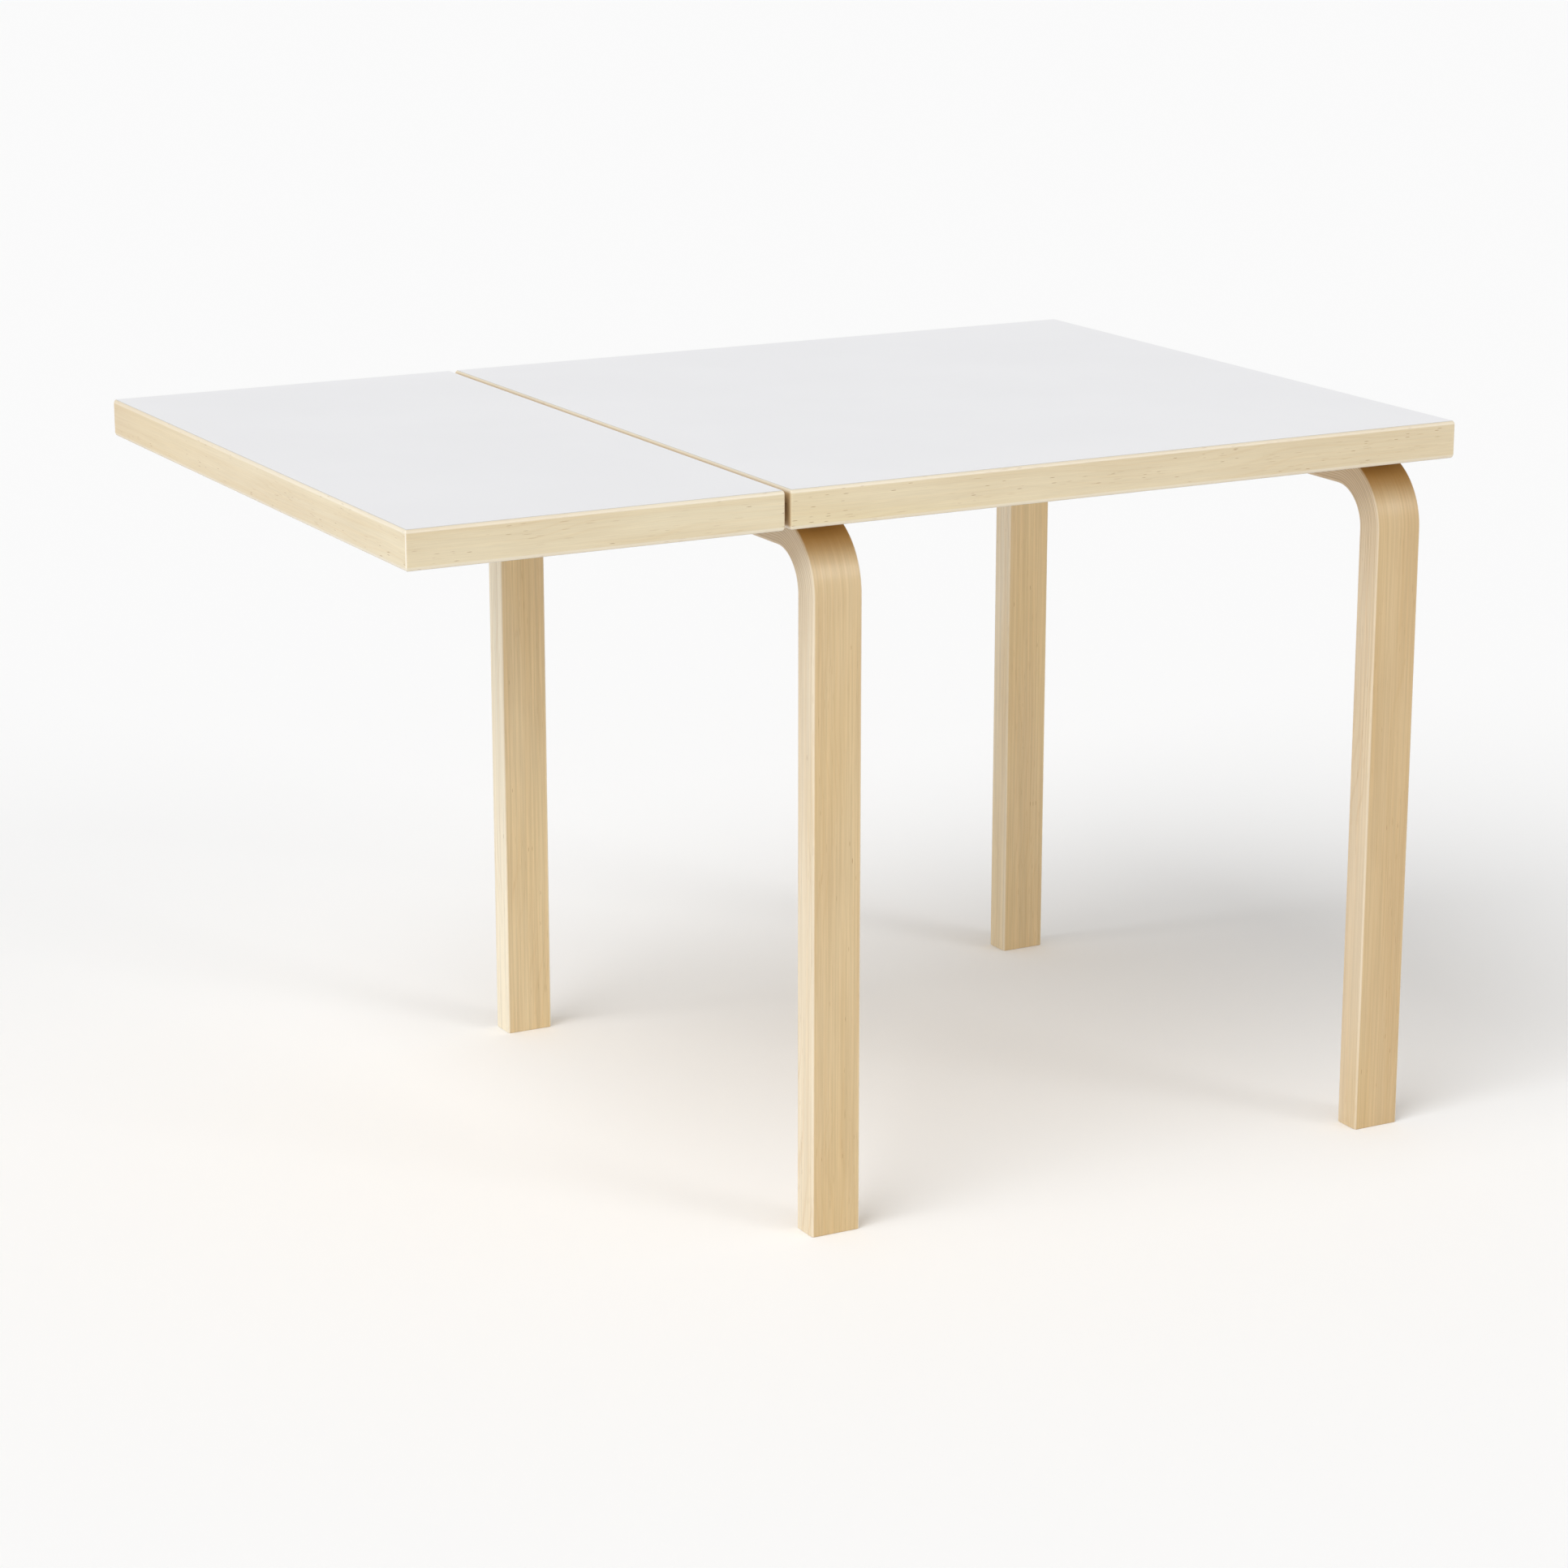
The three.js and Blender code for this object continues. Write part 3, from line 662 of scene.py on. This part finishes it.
def lipping_mesh(name, side, bottom, top, seam):
    """One edge band: its cross-section swept from mitre to mitre."""
    profile = lipping_profile(bottom, top)
    rows = [side_row(side, inset, height) for inset, height, _ in profile]
    along = side[2]
    last = len(rows[0]) - 1
    loops, arris = [], []
    trims = {0: along * GLUE_LINE / 2, last: -along * GLUE_LINE / 2}
    for station in range(last + 1):
        shift = trims.get(station, Vector())
        loops.append([row[station] + shift for row in rows])
        from_mitre = 2 * min(station, last - station) / TURNS
        at_seam = abs(rows[0][station].x - seam) < LIPPING
        # painted highlight on the upright corners, but not at the seam
        corner = 0.0 if at_seam else CORNER_PAINTED_HIGHLIGHT * max(1 - from_mitre, 0.0)
        arris.extend(max(value, corner) for _, _, value in profile)
    mesh = loft(name, loops)
    set_points(mesh, "arris", "FLOAT", arris)
    set_band_darkening_and_seam_shade(mesh, side, BAND_DARKENING.get(name, OTHER_BAND_DARKENING), seam)
    return mesh


def set_band_darkening_and_seam_shade(mesh, side, ends, seam):
    """Darker towards one end of a band, and painted shade on the faces inside the seam."""
    _, start, along, _, length = side
    values = []
    for vertex in mesh.vertices:
        share = (vertex.co - start).dot(along) / length
        outside = (abs(vertex.co.x - seam) - SEAM / 2) / SEAM_REACH
        # painted shade on the faces inside the seam
        inside = SEAM_PAINTED_SHADE * min(max(1 - outside, 0.0), 1.0)
        values.append(max(ends[0] + (ends[1] - ends[0]) * share, inside))
    set_points(mesh, "tone_and_shade", "FLOAT", values)


def sheet_mesh(name, low, high, outer_height, rise_sign):
    """A facing sheet whose rim follows the rounded edge; rise_sign is 1 on top, -1 underneath."""
    rows = arris_rows(0.0, SHEET_RIM, steps=3)
    rows.append((LIPPING + GLUE_LINE, SHEET_RIM))
    rows.append((LIPPING + GLUE_LINE, SHEET))
    loops = []
    for inset, drop in rows:
        loop = []
        for side in top_sides(low, high):
            loop.extend(side_row(side, inset, outer_height - rise_sign * drop)[:-1])
        loops.append(loop)
    if rise_sign > 0:
        loops.reverse()
    return loft(name, loops)


def add_sheet(name, low, high, outer_height, rise_sign, materials, body):
    mesh = sheet_mesh(name, low, high, outer_height, rise_sign)
    set_grain(mesh, lambda p: p.x, lambda p: p.y, lambda p: p.z, SHEET_SEED)
    finish_piece("fine_" + name, mesh, materials, body, [name])
    for polygon in mesh.polygons:
        if abs(polygon.normal.z) < FLAT:
            polygon.material_index = 1  # the rim shows the sheet's core


def add_top(top):
    """The main top or the leaf. Each is on the body of its own name."""
    low, high = outer_box(top)
    bottom, height = low.z, high.z
    pin_low, pin_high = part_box("hinge_middle_pin")
    seam = (pin_low.x + pin_high.x) / 2
    add_sheet(f"{top}_laminate", low, high, height, 1, [WHITE, SHEET_EDGE], top)
    add_sheet(f"{top}_backing", low, high, bottom, -1, [BACKING, SHEET_EDGE], top)
    for number, side in enumerate(top_sides(low, high)):
        name, start, along, inward, _ = side
        node = f"{top}_lipping_{name}"
        mesh = lipping_mesh(node, side, bottom, height, seam)
        set_grain(
            mesh,
            lambda p: (p - start).dot(along),
            lambda p: p.z,
            lambda p: (p - start).dot(inward),
            GRAIN_SEED[top] + number,
        )
        finish_piece("fine_" + node, mesh, [LIPPING_BIRCH], top, [node])
    core_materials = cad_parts[f"{top}_core"].data.materials
    core_materials.clear()
    core_materials.append(CORE)


def outer_box(top):
    """The whole of a top: its edge bands and sheets together."""
    nodes = [f"{top}_{part}" for part in ("laminate", "backing", "lipping_front", "lipping_back")]
    nodes += [f"{top}_lipping_left", f"{top}_lipping_right"]
    boxes = [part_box(node) for node in nodes]
    low = Vector([min(box[0][axis] for box in boxes) for axis in range(3)])
    high = Vector([max(box[1][axis] for box in boxes) for axis in range(3)])
    return low, high


# ---- legs ----
def leg_section(width, thickness, edge, segments=4):
    """Cross-section points (across, depth) with two marks: on a narrow face, and on a rounded edge."""
    centres = [
        (width / 2 - edge, thickness - edge, 0),
        (-width / 2 + edge, thickness - edge, 90),
        (-width / 2 + edge, edge, 180),
        (width / 2 - edge, edge, 270),
    ]
    points = []
    for x, y, start in centres:
        for i in range(segments + 1):
            angle = math.radians(start + 90 * i / segments)
            place = (x + edge * math.cos(angle), y + edge * math.sin(angle))
            points.append((*place, abs(math.cos(angle)), abs(math.sin(2 * angle))))
    return points


def leg_stations(outer, arm_end, top):
    """(run along the outside, centre of the outer face, inward direction) from foot to arm end."""
    bend_y = outer + LEG_BEND
    bend_z = top - LEG_BEND
    stations = []
    for i in range(STRAIGHT_STEPS):
        height = bend_z * i / STRAIGHT_STEPS
        stations.append((height, Vector((0, outer, height)), Vector((0, 1, 0))))
    for i in range(BEND_STEPS + 1):
        turn = math.pi / 2 * i / BEND_STEPS
        away = Vector((0, -math.cos(turn), math.sin(turn)))
        place = Vector((0, bend_y, bend_z)) + away * LEG_BEND
        stations.append((bend_z + LEG_BEND * turn, place, -away))
    run = bend_z + LEG_BEND * math.pi / 2
    arm = arm_end - bend_y
    for share in (0.5, 1.0):
        place = Vector((0, bend_y + arm * share, top))
        stations.append((run + arm * share, place, Vector((0, 0, -1))))
    return stations, bend_z


def leg_rows(stations):
    """(station, inset of the section, shift along the leg) for every ring, with rounded ends."""
    foot_rows = []
    for i in range(END_STEPS + 1):
        turn = math.radians(90 * i / END_STEPS)
        rise = Vector((0, 0, END_EDGE * (1 - math.cos(turn))))
        foot_rows.append((stations[0], END_EDGE * (1 - math.sin(turn)), rise))
    middle_rows = [(station, 0.0, Vector()) for station in stations[1:-1]]
    end_rows = []
    for i in range(END_STEPS + 1):
        turn = math.radians(90 * i / END_STEPS)
        back = Vector((0, END_EDGE * (math.sin(turn) - 1), 0))
        end_rows.append((stations[-1], END_EDGE * (1 - math.cos(turn)), back))
    return foot_rows + middle_rows + end_rows


def bend_shade_share(rise):
    """How far a point round the bend has turned to face up, as a smooth 0 to 1: the share of painted
    shade it gets.
    """
    share = min(max((rise - BEND_SHADE_FROM) / BEND_SHADE_FADE, 0.0), 1.0)
    return share * share * (3 - 2 * share)


def leg_mesh(name, width, outer, arm_end, top, seed, tone_and_shade):
    """A bent leg at the front, about x = 0. Its ends are slightly rounded."""
    stations, bend_z = leg_stations(outer, arm_end, top)
    section = leg_section(width, LEG_THICKNESS, LEG_EDGE)
    run_shift, across_shift = seed * GRAIN_SHIFT[0], seed * GRAIN_SHIFT[1]
    loops, grain = [], []
    marks = {"side": [], "arris": [], "bend_run": [], "tone_and_shade": []}
    for (run, place, inward), inset, shift in leg_rows(stations):
        loop = []
        # painted shade deepens round the bend, where the outer and narrow faces turn up under the top
        turned_up = bend_shade_share(-inward.z)
        outer_tone_and_shade = tone_and_shade + (BEND_PAINTED_SHADE - tone_and_shade) * turned_up
        side_tone_and_shade = tone_and_shade + (SIDE_BEND_PAINTED_SHADE - tone_and_shade) * turned_up
        for across, depth, on_side, on_arris in section:
            outside = depth < LEG_THICKNESS / 2
            x = across - math.copysign(min(inset, abs(across)), across)
            d = depth + (inset if outside else -inset)
            loop.append(place + Vector((x, 0, 0)) + inward * d + shift)
            grain.append(Vector((run + run_shift, x + across_shift, d)))
            marks["side"].append(on_side)
            marks["arris"].append(on_arris)
            marks["bend_run"].append(run - bend_z + KERF_RUN_OUT)
            marks["tone_and_shade"].append(outer_tone_and_shade if outside and on_side < 0.5 else side_tone_and_shade)
        loops.append(loop)
    mesh = loft(name, loops)
    set_points(mesh, "grain", "FLOAT_VECTOR", grain)
    for mark, values in marks.items():
        set_points(mesh, mark, "FLOAT", values)
    return mesh


def add_legs():
    for number, name in enumerate(("front_left", "back_left", "front_right", "back_right")):
        node = f"leg_{name}"
        low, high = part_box(node)
        front = name.startswith("front")
        depth = high.y - low.y
        outer = low.y if front else -high.y
        width = high.x - low.x
        seed = GRAIN_SEED["legs"] + number
        mesh = leg_mesh(node, width, outer, outer + depth, high.z, seed, LEG_TONE_AND_SHADE[name])
        middle = (low.x + high.x) / 2
        turn = Matrix.Rotation(0 if front else math.pi, 4, "Z")
        mesh.transform(Matrix.Translation((middle, 0, 0)) @ turn)
        finish_piece("fine_" + node, mesh, [LEG_BIRCH], "main", [node])


# ---- screws ----
def cross_recess(size, depth):
    """A cross-shaped wedge that points up, for cutting into a screw head."""
    arm = size * CROSS_ARM
    outline = [
        (size, -arm), (size, arm), (arm, arm), (arm, size), (-arm, size), (-arm, arm),
        (-size, arm), (-size, -arm), (-arm, -arm), (-arm, -size), (arm, -size), (arm, -arm),
    ]
    low = [Vector((x, y, -depth)) for x, y in outline]
    middle = [Vector((x, y, 0)) for x, y in outline]
    high = [Vector((x * CROSS_TIP, y * CROSS_TIP, depth)) for x, y in outline]
    return loft("cross_recess", [low, middle, high])


def screw_mesh(name, profile, cross, face):
    """A turned screw with a cross cut into its head; face is the height of the head's face."""
    cutter = cross_recess(cross["size"], cross["depth"])
    cutter.transform(Matrix.Translation((0, 0, face)))
    return cut(turned_mesh(name, profile), cutter)


def leg_screw():
    """A domed screw that points up from its seat at z = 0."""
    head, rise, rim = LEG_SCREW_HEAD["radius"], LEG_SCREW_HEAD["rise"], LEG_SCREW_HEAD["rim"]
    shank = LEG_SCREW_SHANK["radius"]
    steps = 7
    profile = [(0, -rise)]
    for i in range(1, steps + 1):
        turn = math.radians(90 * i / steps)
        profile.append((head * math.sin(turn), -rim - (rise - rim) * math.cos(turn)))
    profile += [(head, 0), (shank, 0), (shank, LEG_SCREW_SHANK["end"]), (0, LEG_SCREW_SHANK["tip"])]
    return screw_mesh("leg_screw", profile, LEG_SCREW_CROSS, -rise)


def sunk_screw():
    """A flat-headed screw that points up, with its head's face at z = 0."""
    head, rim = SUNK_SCREW_HEAD["radius"], SUNK_SCREW_HEAD["rim"]
    shank = SUNK_SCREW_SHANK["radius"]
    profile = [(0, 0.0), (head - rim, 0.0), (head, rim / 2), (head, rim)]
    profile += [(shank, SUNK_SCREW_HEAD["height"]), (shank, SUNK_SCREW_SHANK["end"])]
    profile.append((0, SUNK_SCREW_SHANK["tip"]))
    return screw_mesh("sunk_screw", profile, SUNK_SCREW_CROSS, 0.0)


def add_screws(sunk):
    """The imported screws: domed ones through the legs, sunk ones in the hinges."""
    domed = leg_screw()
    dice = random.Random(SCREW_TURNS)
    for node in sorted(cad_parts):
        if "screw" not in node:
            continue
        low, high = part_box(node)
        leg = node.startswith("leg_screw")
        turn = Matrix.Rotation(dice.uniform(0, math.pi), 4, "Z")
        height = low.z + (LEG_SCREW_HEAD["rise"] if leg else 0.0)
        place = Matrix.Translation(((low.x + high.x) / 2, (low.y + high.y) / 2, height))
        mesh = placed(domed if leg else sunk, place @ turn)
        body = "leaf" if "_leaf_" in node else "main"
        finish_piece("fine_" + node, mesh, [ZINC], body, [node])


# ---- hinges ----
def tube_mesh(name, inner, outer, length, segments=32):
    """A knuckle about the Z axis, with softened rims."""
    soft = KNUCKLE_EDGE
    half = length / 2
    profile = [
        (inner, -half + soft), (inner + soft, -half), (outer - soft, -half), (outer, -half + soft),
        (outer, half - soft), (outer - soft, half), (inner + soft, half), (inner, half - soft),
    ]
    loops = []
    for i in range(segments):
        angle = 2 * math.pi * i / segments
        away = Vector((math.cos(angle), math.sin(angle), 0))
        loops.append([away * radius + Vector((0, 0, height)) for radius, height in profile])
    loops.append(loops[0])
    return welded(loft(name, loops, cap=False))


def hinge_outline(length, knuckles):
    """A plate's outline: in to the knuckles on its axis side, round corners on the other."""
    clear = KNUCKLE + KNUCKLE_CLEARANCE
    outline = []
    for low, high in knuckles:
        tab = KNUCKLE_TAB_START
        outline += [(clear, low), (tab, low), (tab, high), (clear, high)]
    half = length / 2
    if outline[0][1] > -half + MM:
        outline.insert(0, (clear, -half))
        outline.append((clear, half))
    steps = 5
    for centre_y, start in ((half - HINGE_CORNER, 90), (-half + HINGE_CORNER, 0)):
        for i in range(steps + 1):
            angle = math.radians(start - 90 * i / steps)
            x = HINGE_REACH - HINGE_CORNER + HINGE_CORNER * math.cos(angle)
            outline.append((x, centre_y + HINGE_CORNER * math.sin(angle)))
    return outline


def hinge_plate_mesh(name, length, knuckles):
    """A plate about the hinge axis, reaching out along +X, with its knuckles along Y."""
    middle = HINGE_DROP - PLAY - HINGE_PLATE / 2
    screws = (-HINGE_SCREW_SPACING / 2, HINGE_SCREW_SPACING / 2)
    holes = [circle(HINGE_SCREW_REACH, y, SUNK_HOLE) for y in screws]
    outlines = [hinge_outline(length, knuckles)] + holes
    plate = plate_mesh(name, outlines, HINGE_PLATE, HINGE_PLATE_EDGE)
    parts = [(plate, Matrix.Translation((0, 0, middle)))]
    lay = Matrix.Rotation(math.radians(-90), 4, "X")
    for low, high in knuckles:
        tube = tube_mesh("knuckle", HINGE_PIN + HINGE_PIN_PLAY, KNUCKLE, high - low)
        parts.append((tube, Matrix.Translation((0, (low + high) / 2, 0)) @ lay))
    return joined(name, parts)


def pin_mesh(name, radius, head, head_rise, half):
    """A pin about the Z axis with a low domed head at each end."""
    dome = []
    for angle in (22, 45, 67, 90):
        turn = math.radians(angle)
        dome.append((head * math.sin(turn), head_rise * math.cos(turn)))
    profile = [(0, -half - head_rise)]
    profile += [(r, -half - rise) for r, rise in dome]
    profile += [(radius, -half), (radius, half)]
    profile += [(r, half + rise) for r, rise in reversed(dome)]
    profile.append((0, half + head_rise))
    mesh = turned_mesh(name, profile)
    mesh.transform(Matrix.Rotation(math.radians(-90), 4, "X"))
    return mesh


def add_hinges():
    for place in ("front", "middle", "back"):
        low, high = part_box(f"hinge_{place}_pin")
        axis = (low + high) / 2
        plate_low, plate_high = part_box(f"hinge_{place}_main_plate")
        length = plate_high.y - plate_low.y
        half, third = length / 2, length / 6
        outer_pair = [(-half, -third - PLAY / 2), (third + PLAY / 2, half)]
        middle_one = [(-third + PLAY / 2, third - PLAY / 2)]
        for side, knuckles, turn in (("main", outer_pair, 0), ("leaf", middle_one, math.pi)):
            node = f"hinge_{place}_{side}_plate"
            mesh = hinge_plate_mesh(node, length, knuckles)
            mesh.transform(Matrix.Translation(axis) @ Matrix.Rotation(turn, 4, "Z"))
            finish_piece("fine_" + node, mesh, [STEEL], side, [node], sharp=35)
        node = f"hinge_{place}_pin"
        mesh = pin_mesh(node, HINGE_PIN, HINGE_PIN_HEAD, HINGE_PIN_HEAD - HINGE_PIN, half + PLAY)
        mesh.transform(Matrix.Translation(axis))
        finish_piece("fine_" + node, mesh, [STEEL], "main", [node])


# ---- support frame ----
def bar_outline(start, end, radius, segments=14):
    """A straight bar with round ends between two (x, z) points."""
    heading = math.atan2(end[1] - start[1], end[0] - start[0])
    points = []
    for centre, first in ((start, heading + math.pi / 2), (end, heading - math.pi / 2)):
        for i in range(segments + 1):
            angle = first + math.pi * i / segments
            x = centre[0] + radius * math.cos(angle)
            points.append((x, centre[1] + radius * math.sin(angle)))
    return points


def stand_up(y):
    """Turns a plate drawn in XY so that its drawing lies in XZ at the given y."""
    return Matrix.Translation((0, y, 0)) @ Matrix.Rotation(math.radians(90), 4, "X")


def add_prop_arms(pivot, bar):
    for number, place in enumerate(("front", "back")):
        node = f"prop_arm_{place}"
        low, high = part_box(node)
        outline = bar_outline((pivot.x, pivot.z), (bar.x, bar.z), PROP_RADIUS)
        holes = [circle(pivot.x, pivot.z, PROP_PIN_HOLE), circle(bar.x, bar.z, PROP_TENON_HOLE)]
        mesh = plate_mesh(node, [outline] + holes, high.y - low.y, PROP_EDGE)
        mesh.transform(stand_up((low.y + high.y) / 2))
        heading = (bar - pivot).normalized()
        normal = heading.cross(Vector((0, 1, 0)))
        seed = GRAIN_SEED["prop_arms"] + number
        set_grain(mesh, lambda p: p.dot(heading), lambda p: p.dot(normal), lambda p: p.y, seed)
        finish_piece("fine_" + node, mesh, [BAR_BIRCH], "prop", [node])


def add_crossbar(bar):
    """A round bar with a narrower tenon at each end."""
    node = "prop_crossbar"
    low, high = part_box(node)
    end = (high.y - low.y) / 2
    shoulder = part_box("prop_arm_back")[0].y - PLAY
    soft, tenon, blunt = CROSSBAR_EDGE, PROP_TENON, PROP_TENON_EDGE
    part = 0.3 * soft  # halfway round the edge
    profile = [(0, -end), (tenon - blunt, -end), (tenon, -end + blunt), (tenon, -shoulder)]
    profile += [(PROP_RADIUS - soft, -shoulder), (PROP_RADIUS - part, -shoulder + part)]
    profile += [(PROP_RADIUS, -shoulder + soft), (PROP_RADIUS, 0.0)]
    profile += [(radius, -height) for radius, height in reversed(profile[:-1])]
    mesh = turned_mesh(node, profile, segments=40)
    mesh.transform(Matrix.Translation(bar) @ Matrix.Rotation(math.radians(-90), 4, "X"))
    set_grain(mesh, lambda p: p.y, lambda p: p.x, lambda p: p.z, GRAIN_SEED["crossbar"])
    finish_piece("fine_" + node, mesh, [BAR_BIRCH], "prop", [node])


def bracket_mesh(name, low, high, holes, pivot, inside):
    """A base plate with two lugs that hang down to the pivot."""
    base_outlines = [rounded_outline((low.x, low.y), (high.x, high.y), BRACKET_CORNER)]
    base_outlines += [circle(x, y, SUNK_HOLE) for x, y in holes]
    base = plate_mesh(name, base_outlines, LUG, PLATE_EDGE)
    rise = high.z - LUG_SINK
    steps = 16
    lug_outline = [(low.x + LUG_FOOT[0], rise)]
    for i in range(steps + 1):
        angle = math.pi + math.pi * i / steps
        x = pivot.x + LUG_RADIUS * math.cos(angle)
        lug_outline.append((x, pivot.z + LUG_RADIUS * math.sin(angle)))
    lug_outline.append((low.x + LUG_FOOT[1], rise))
    pin_hole = circle(pivot.x, pivot.z, LUG_PIN_HOLE)
    lug = plate_mesh(name, [lug_outline, pin_hole], LUG, PLATE_EDGE)
    parts = [(base, Matrix.Translation((0, 0, high.z - LUG / 2)))]
    middle = (low.y + high.y) / 2
    for side in (-1, 1):
        parts.append((lug, stand_up(middle + side * (inside + LUG / 2))))
    return joined(name, parts)


def add_brackets(pivot, sunk):
    for place in ("front", "back"):
        node = f"prop_bracket_{place}"
        low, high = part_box(node)
        middle = (low.y + high.y) / 2
        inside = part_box(f"prop_arm_{place}")[1].y - middle + LUG_CLEARANCE
        holes = [(high.x - inset, middle) for inset in BRACKET_HOLES]
        mesh = bracket_mesh(node, low, high, holes, pivot, inside)
        finish_piece("fine_" + node, mesh, [STEEL], "main", [node], sharp=35)
        for number, (x, y) in enumerate(holes):
            screw = placed(sunk, Matrix.Translation((x, y, high.z - LUG)))
            piece = f"bracket_screw_{place}_{number + 1}"
            finish_piece(piece, screw, [ZINC], "main", [])
        head = PROP_PIN_HEAD
        half = inside + LUG + PLAY
        pin = pin_mesh(f"prop_pin_{place}", PROP_PIN, head["radius"], head["rise"], half)
        pin.transform(Matrix.Translation((pivot.x, middle, pivot.z)))
        finish_piece(f"fine_prop_pin_{place}", pin, [STEEL], "main", [f"prop_pin_{place}"])


def add_cleat(sunk):
    """The block under the leaf that the crossbar catches behind, with three screws."""
    node = "leaf_cleat"
    low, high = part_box(node)
    middle = (low.x + high.x) / 2
    places = (low.y + CLEAT_HOLE_INSET, 0.0, high.y - CLEAT_HOLE_INSET)
    outlines = [rounded_outline((low.x, low.y), (high.x, high.y), CLEAT_CORNER)]
    outlines += [circle(middle, y, CLEAT_HOLE) for y in places]
    mesh = plate_mesh(node, outlines, high.z - low.z, CLEAT_EDGE)
    mesh.transform(Matrix.Translation((0, 0, (low.z + high.z) / 2)))
    set_grain(mesh, lambda p: p.y, lambda p: p.x, lambda p: p.z, GRAIN_SEED["cleat"])
    finish_piece("fine_" + node, mesh, [BAR_BIRCH], "leaf", [node])
    for number, y in enumerate(places):
        screw = placed(sunk, Matrix.Translation((middle, y, low.z + CLEAT_SCREW_SINK)))
        finish_piece(f"cleat_screw_{number + 1}", screw, [ZINC], "leaf", [])


def add_support(sunk):
    """The frame that holds the raised leaf, and the cleat it catches behind."""
    low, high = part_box("prop_pin_front")
    pivot = (low + high) / 2
    low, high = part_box("prop_crossbar")
    bar = (low + high) / 2
    pivot.y = 0.0
    bar.y = 0.0
    add_prop_arms(pivot, bar)
    add_crossbar(bar)
    add_brackets(pivot, sunk)
    add_cleat(sunk)


# ---- floor, light and camera ----
def add_floor():
    constants = {"Roughness": 1.0, "Specular IOR Level": 0.0, "Base Color": (*FLOOR_COLOUR, 1)}
    s = Shader("pale_floor", constants)
    size = FLOOR_SIZE
    places = ((-size, -size), (size, -size), (size, size), (-size, size))
    corners = [Vector((x, y, 0)) for x, y in places]
    mesh = mesh_from("floor", corners, [(0, 1, 2, 3)])
    mesh.materials.append(s.material)
    floor = bpy.data.objects.new("floor", mesh)
    bpy.context.scene.collection.objects.link(floor)


def add_light():
    """A sky that is bright at the horizon, and two soft lights."""
    world = bpy.data.worlds.new("studio")
    world.use_nodes = True
    sky = world.node_tree
    background = sky.nodes["Background"]
    background.inputs["Color"].default_value = (1, 1, 1, 1)
    height = sky.nodes.new("ShaderNodeSeparateXYZ")
    fade = sky.nodes.new("ShaderNodeMapRange")
    fade.inputs["To Min"].default_value = SKY_AT_HORIZON
    fade.inputs["To Max"].default_value = SKY_OVERHEAD
    sky.links.new(sky.nodes.new("ShaderNodeTexCoord").outputs["Generated"], height.inputs[0])
    sky.links.new(height.outputs["Z"], fade.inputs["Value"])
    sky.links.new(fade.outputs["Result"], background.inputs["Strength"])
    bpy.context.scene.world = world
    for name, (direction, strength, spread) in LIGHTS.items():
        light = bpy.data.lights.new(name, "SUN")
        light.energy = strength
        light.angle = math.radians(spread)
        lamp = bpy.data.objects.new(name, light)
        lamp.rotation_euler = Vector(direction).to_track_quat("Z", "Y").to_euler()
        bpy.context.scene.collection.objects.link(lamp)
    bpy.context.scene.view_settings.view_transform = "Standard"


def add_camera():
    data = bpy.data.cameras.new("camera")
    data.sensor_width = CAMERA_SENSOR
    data.lens = CAMERA_LENS
    camera = bpy.data.objects.new("camera", data)
    camera.location = CAMERA_PLACE
    tilt, heading = math.radians(90 - CAMERA_PITCH), math.radians(-CAMERA_YAW)
    camera.rotation_euler = (tilt, 0.0, heading)
    bpy.context.scene.collection.objects.link(camera)
    bpy.context.scene.camera = camera


add_camera()
add_top("main")
add_top("leaf")
add_legs()
sunk_head = sunk_screw()
add_screws(sunk_head)
add_hinges()
add_support(sunk_head)
add_floor()
add_light()
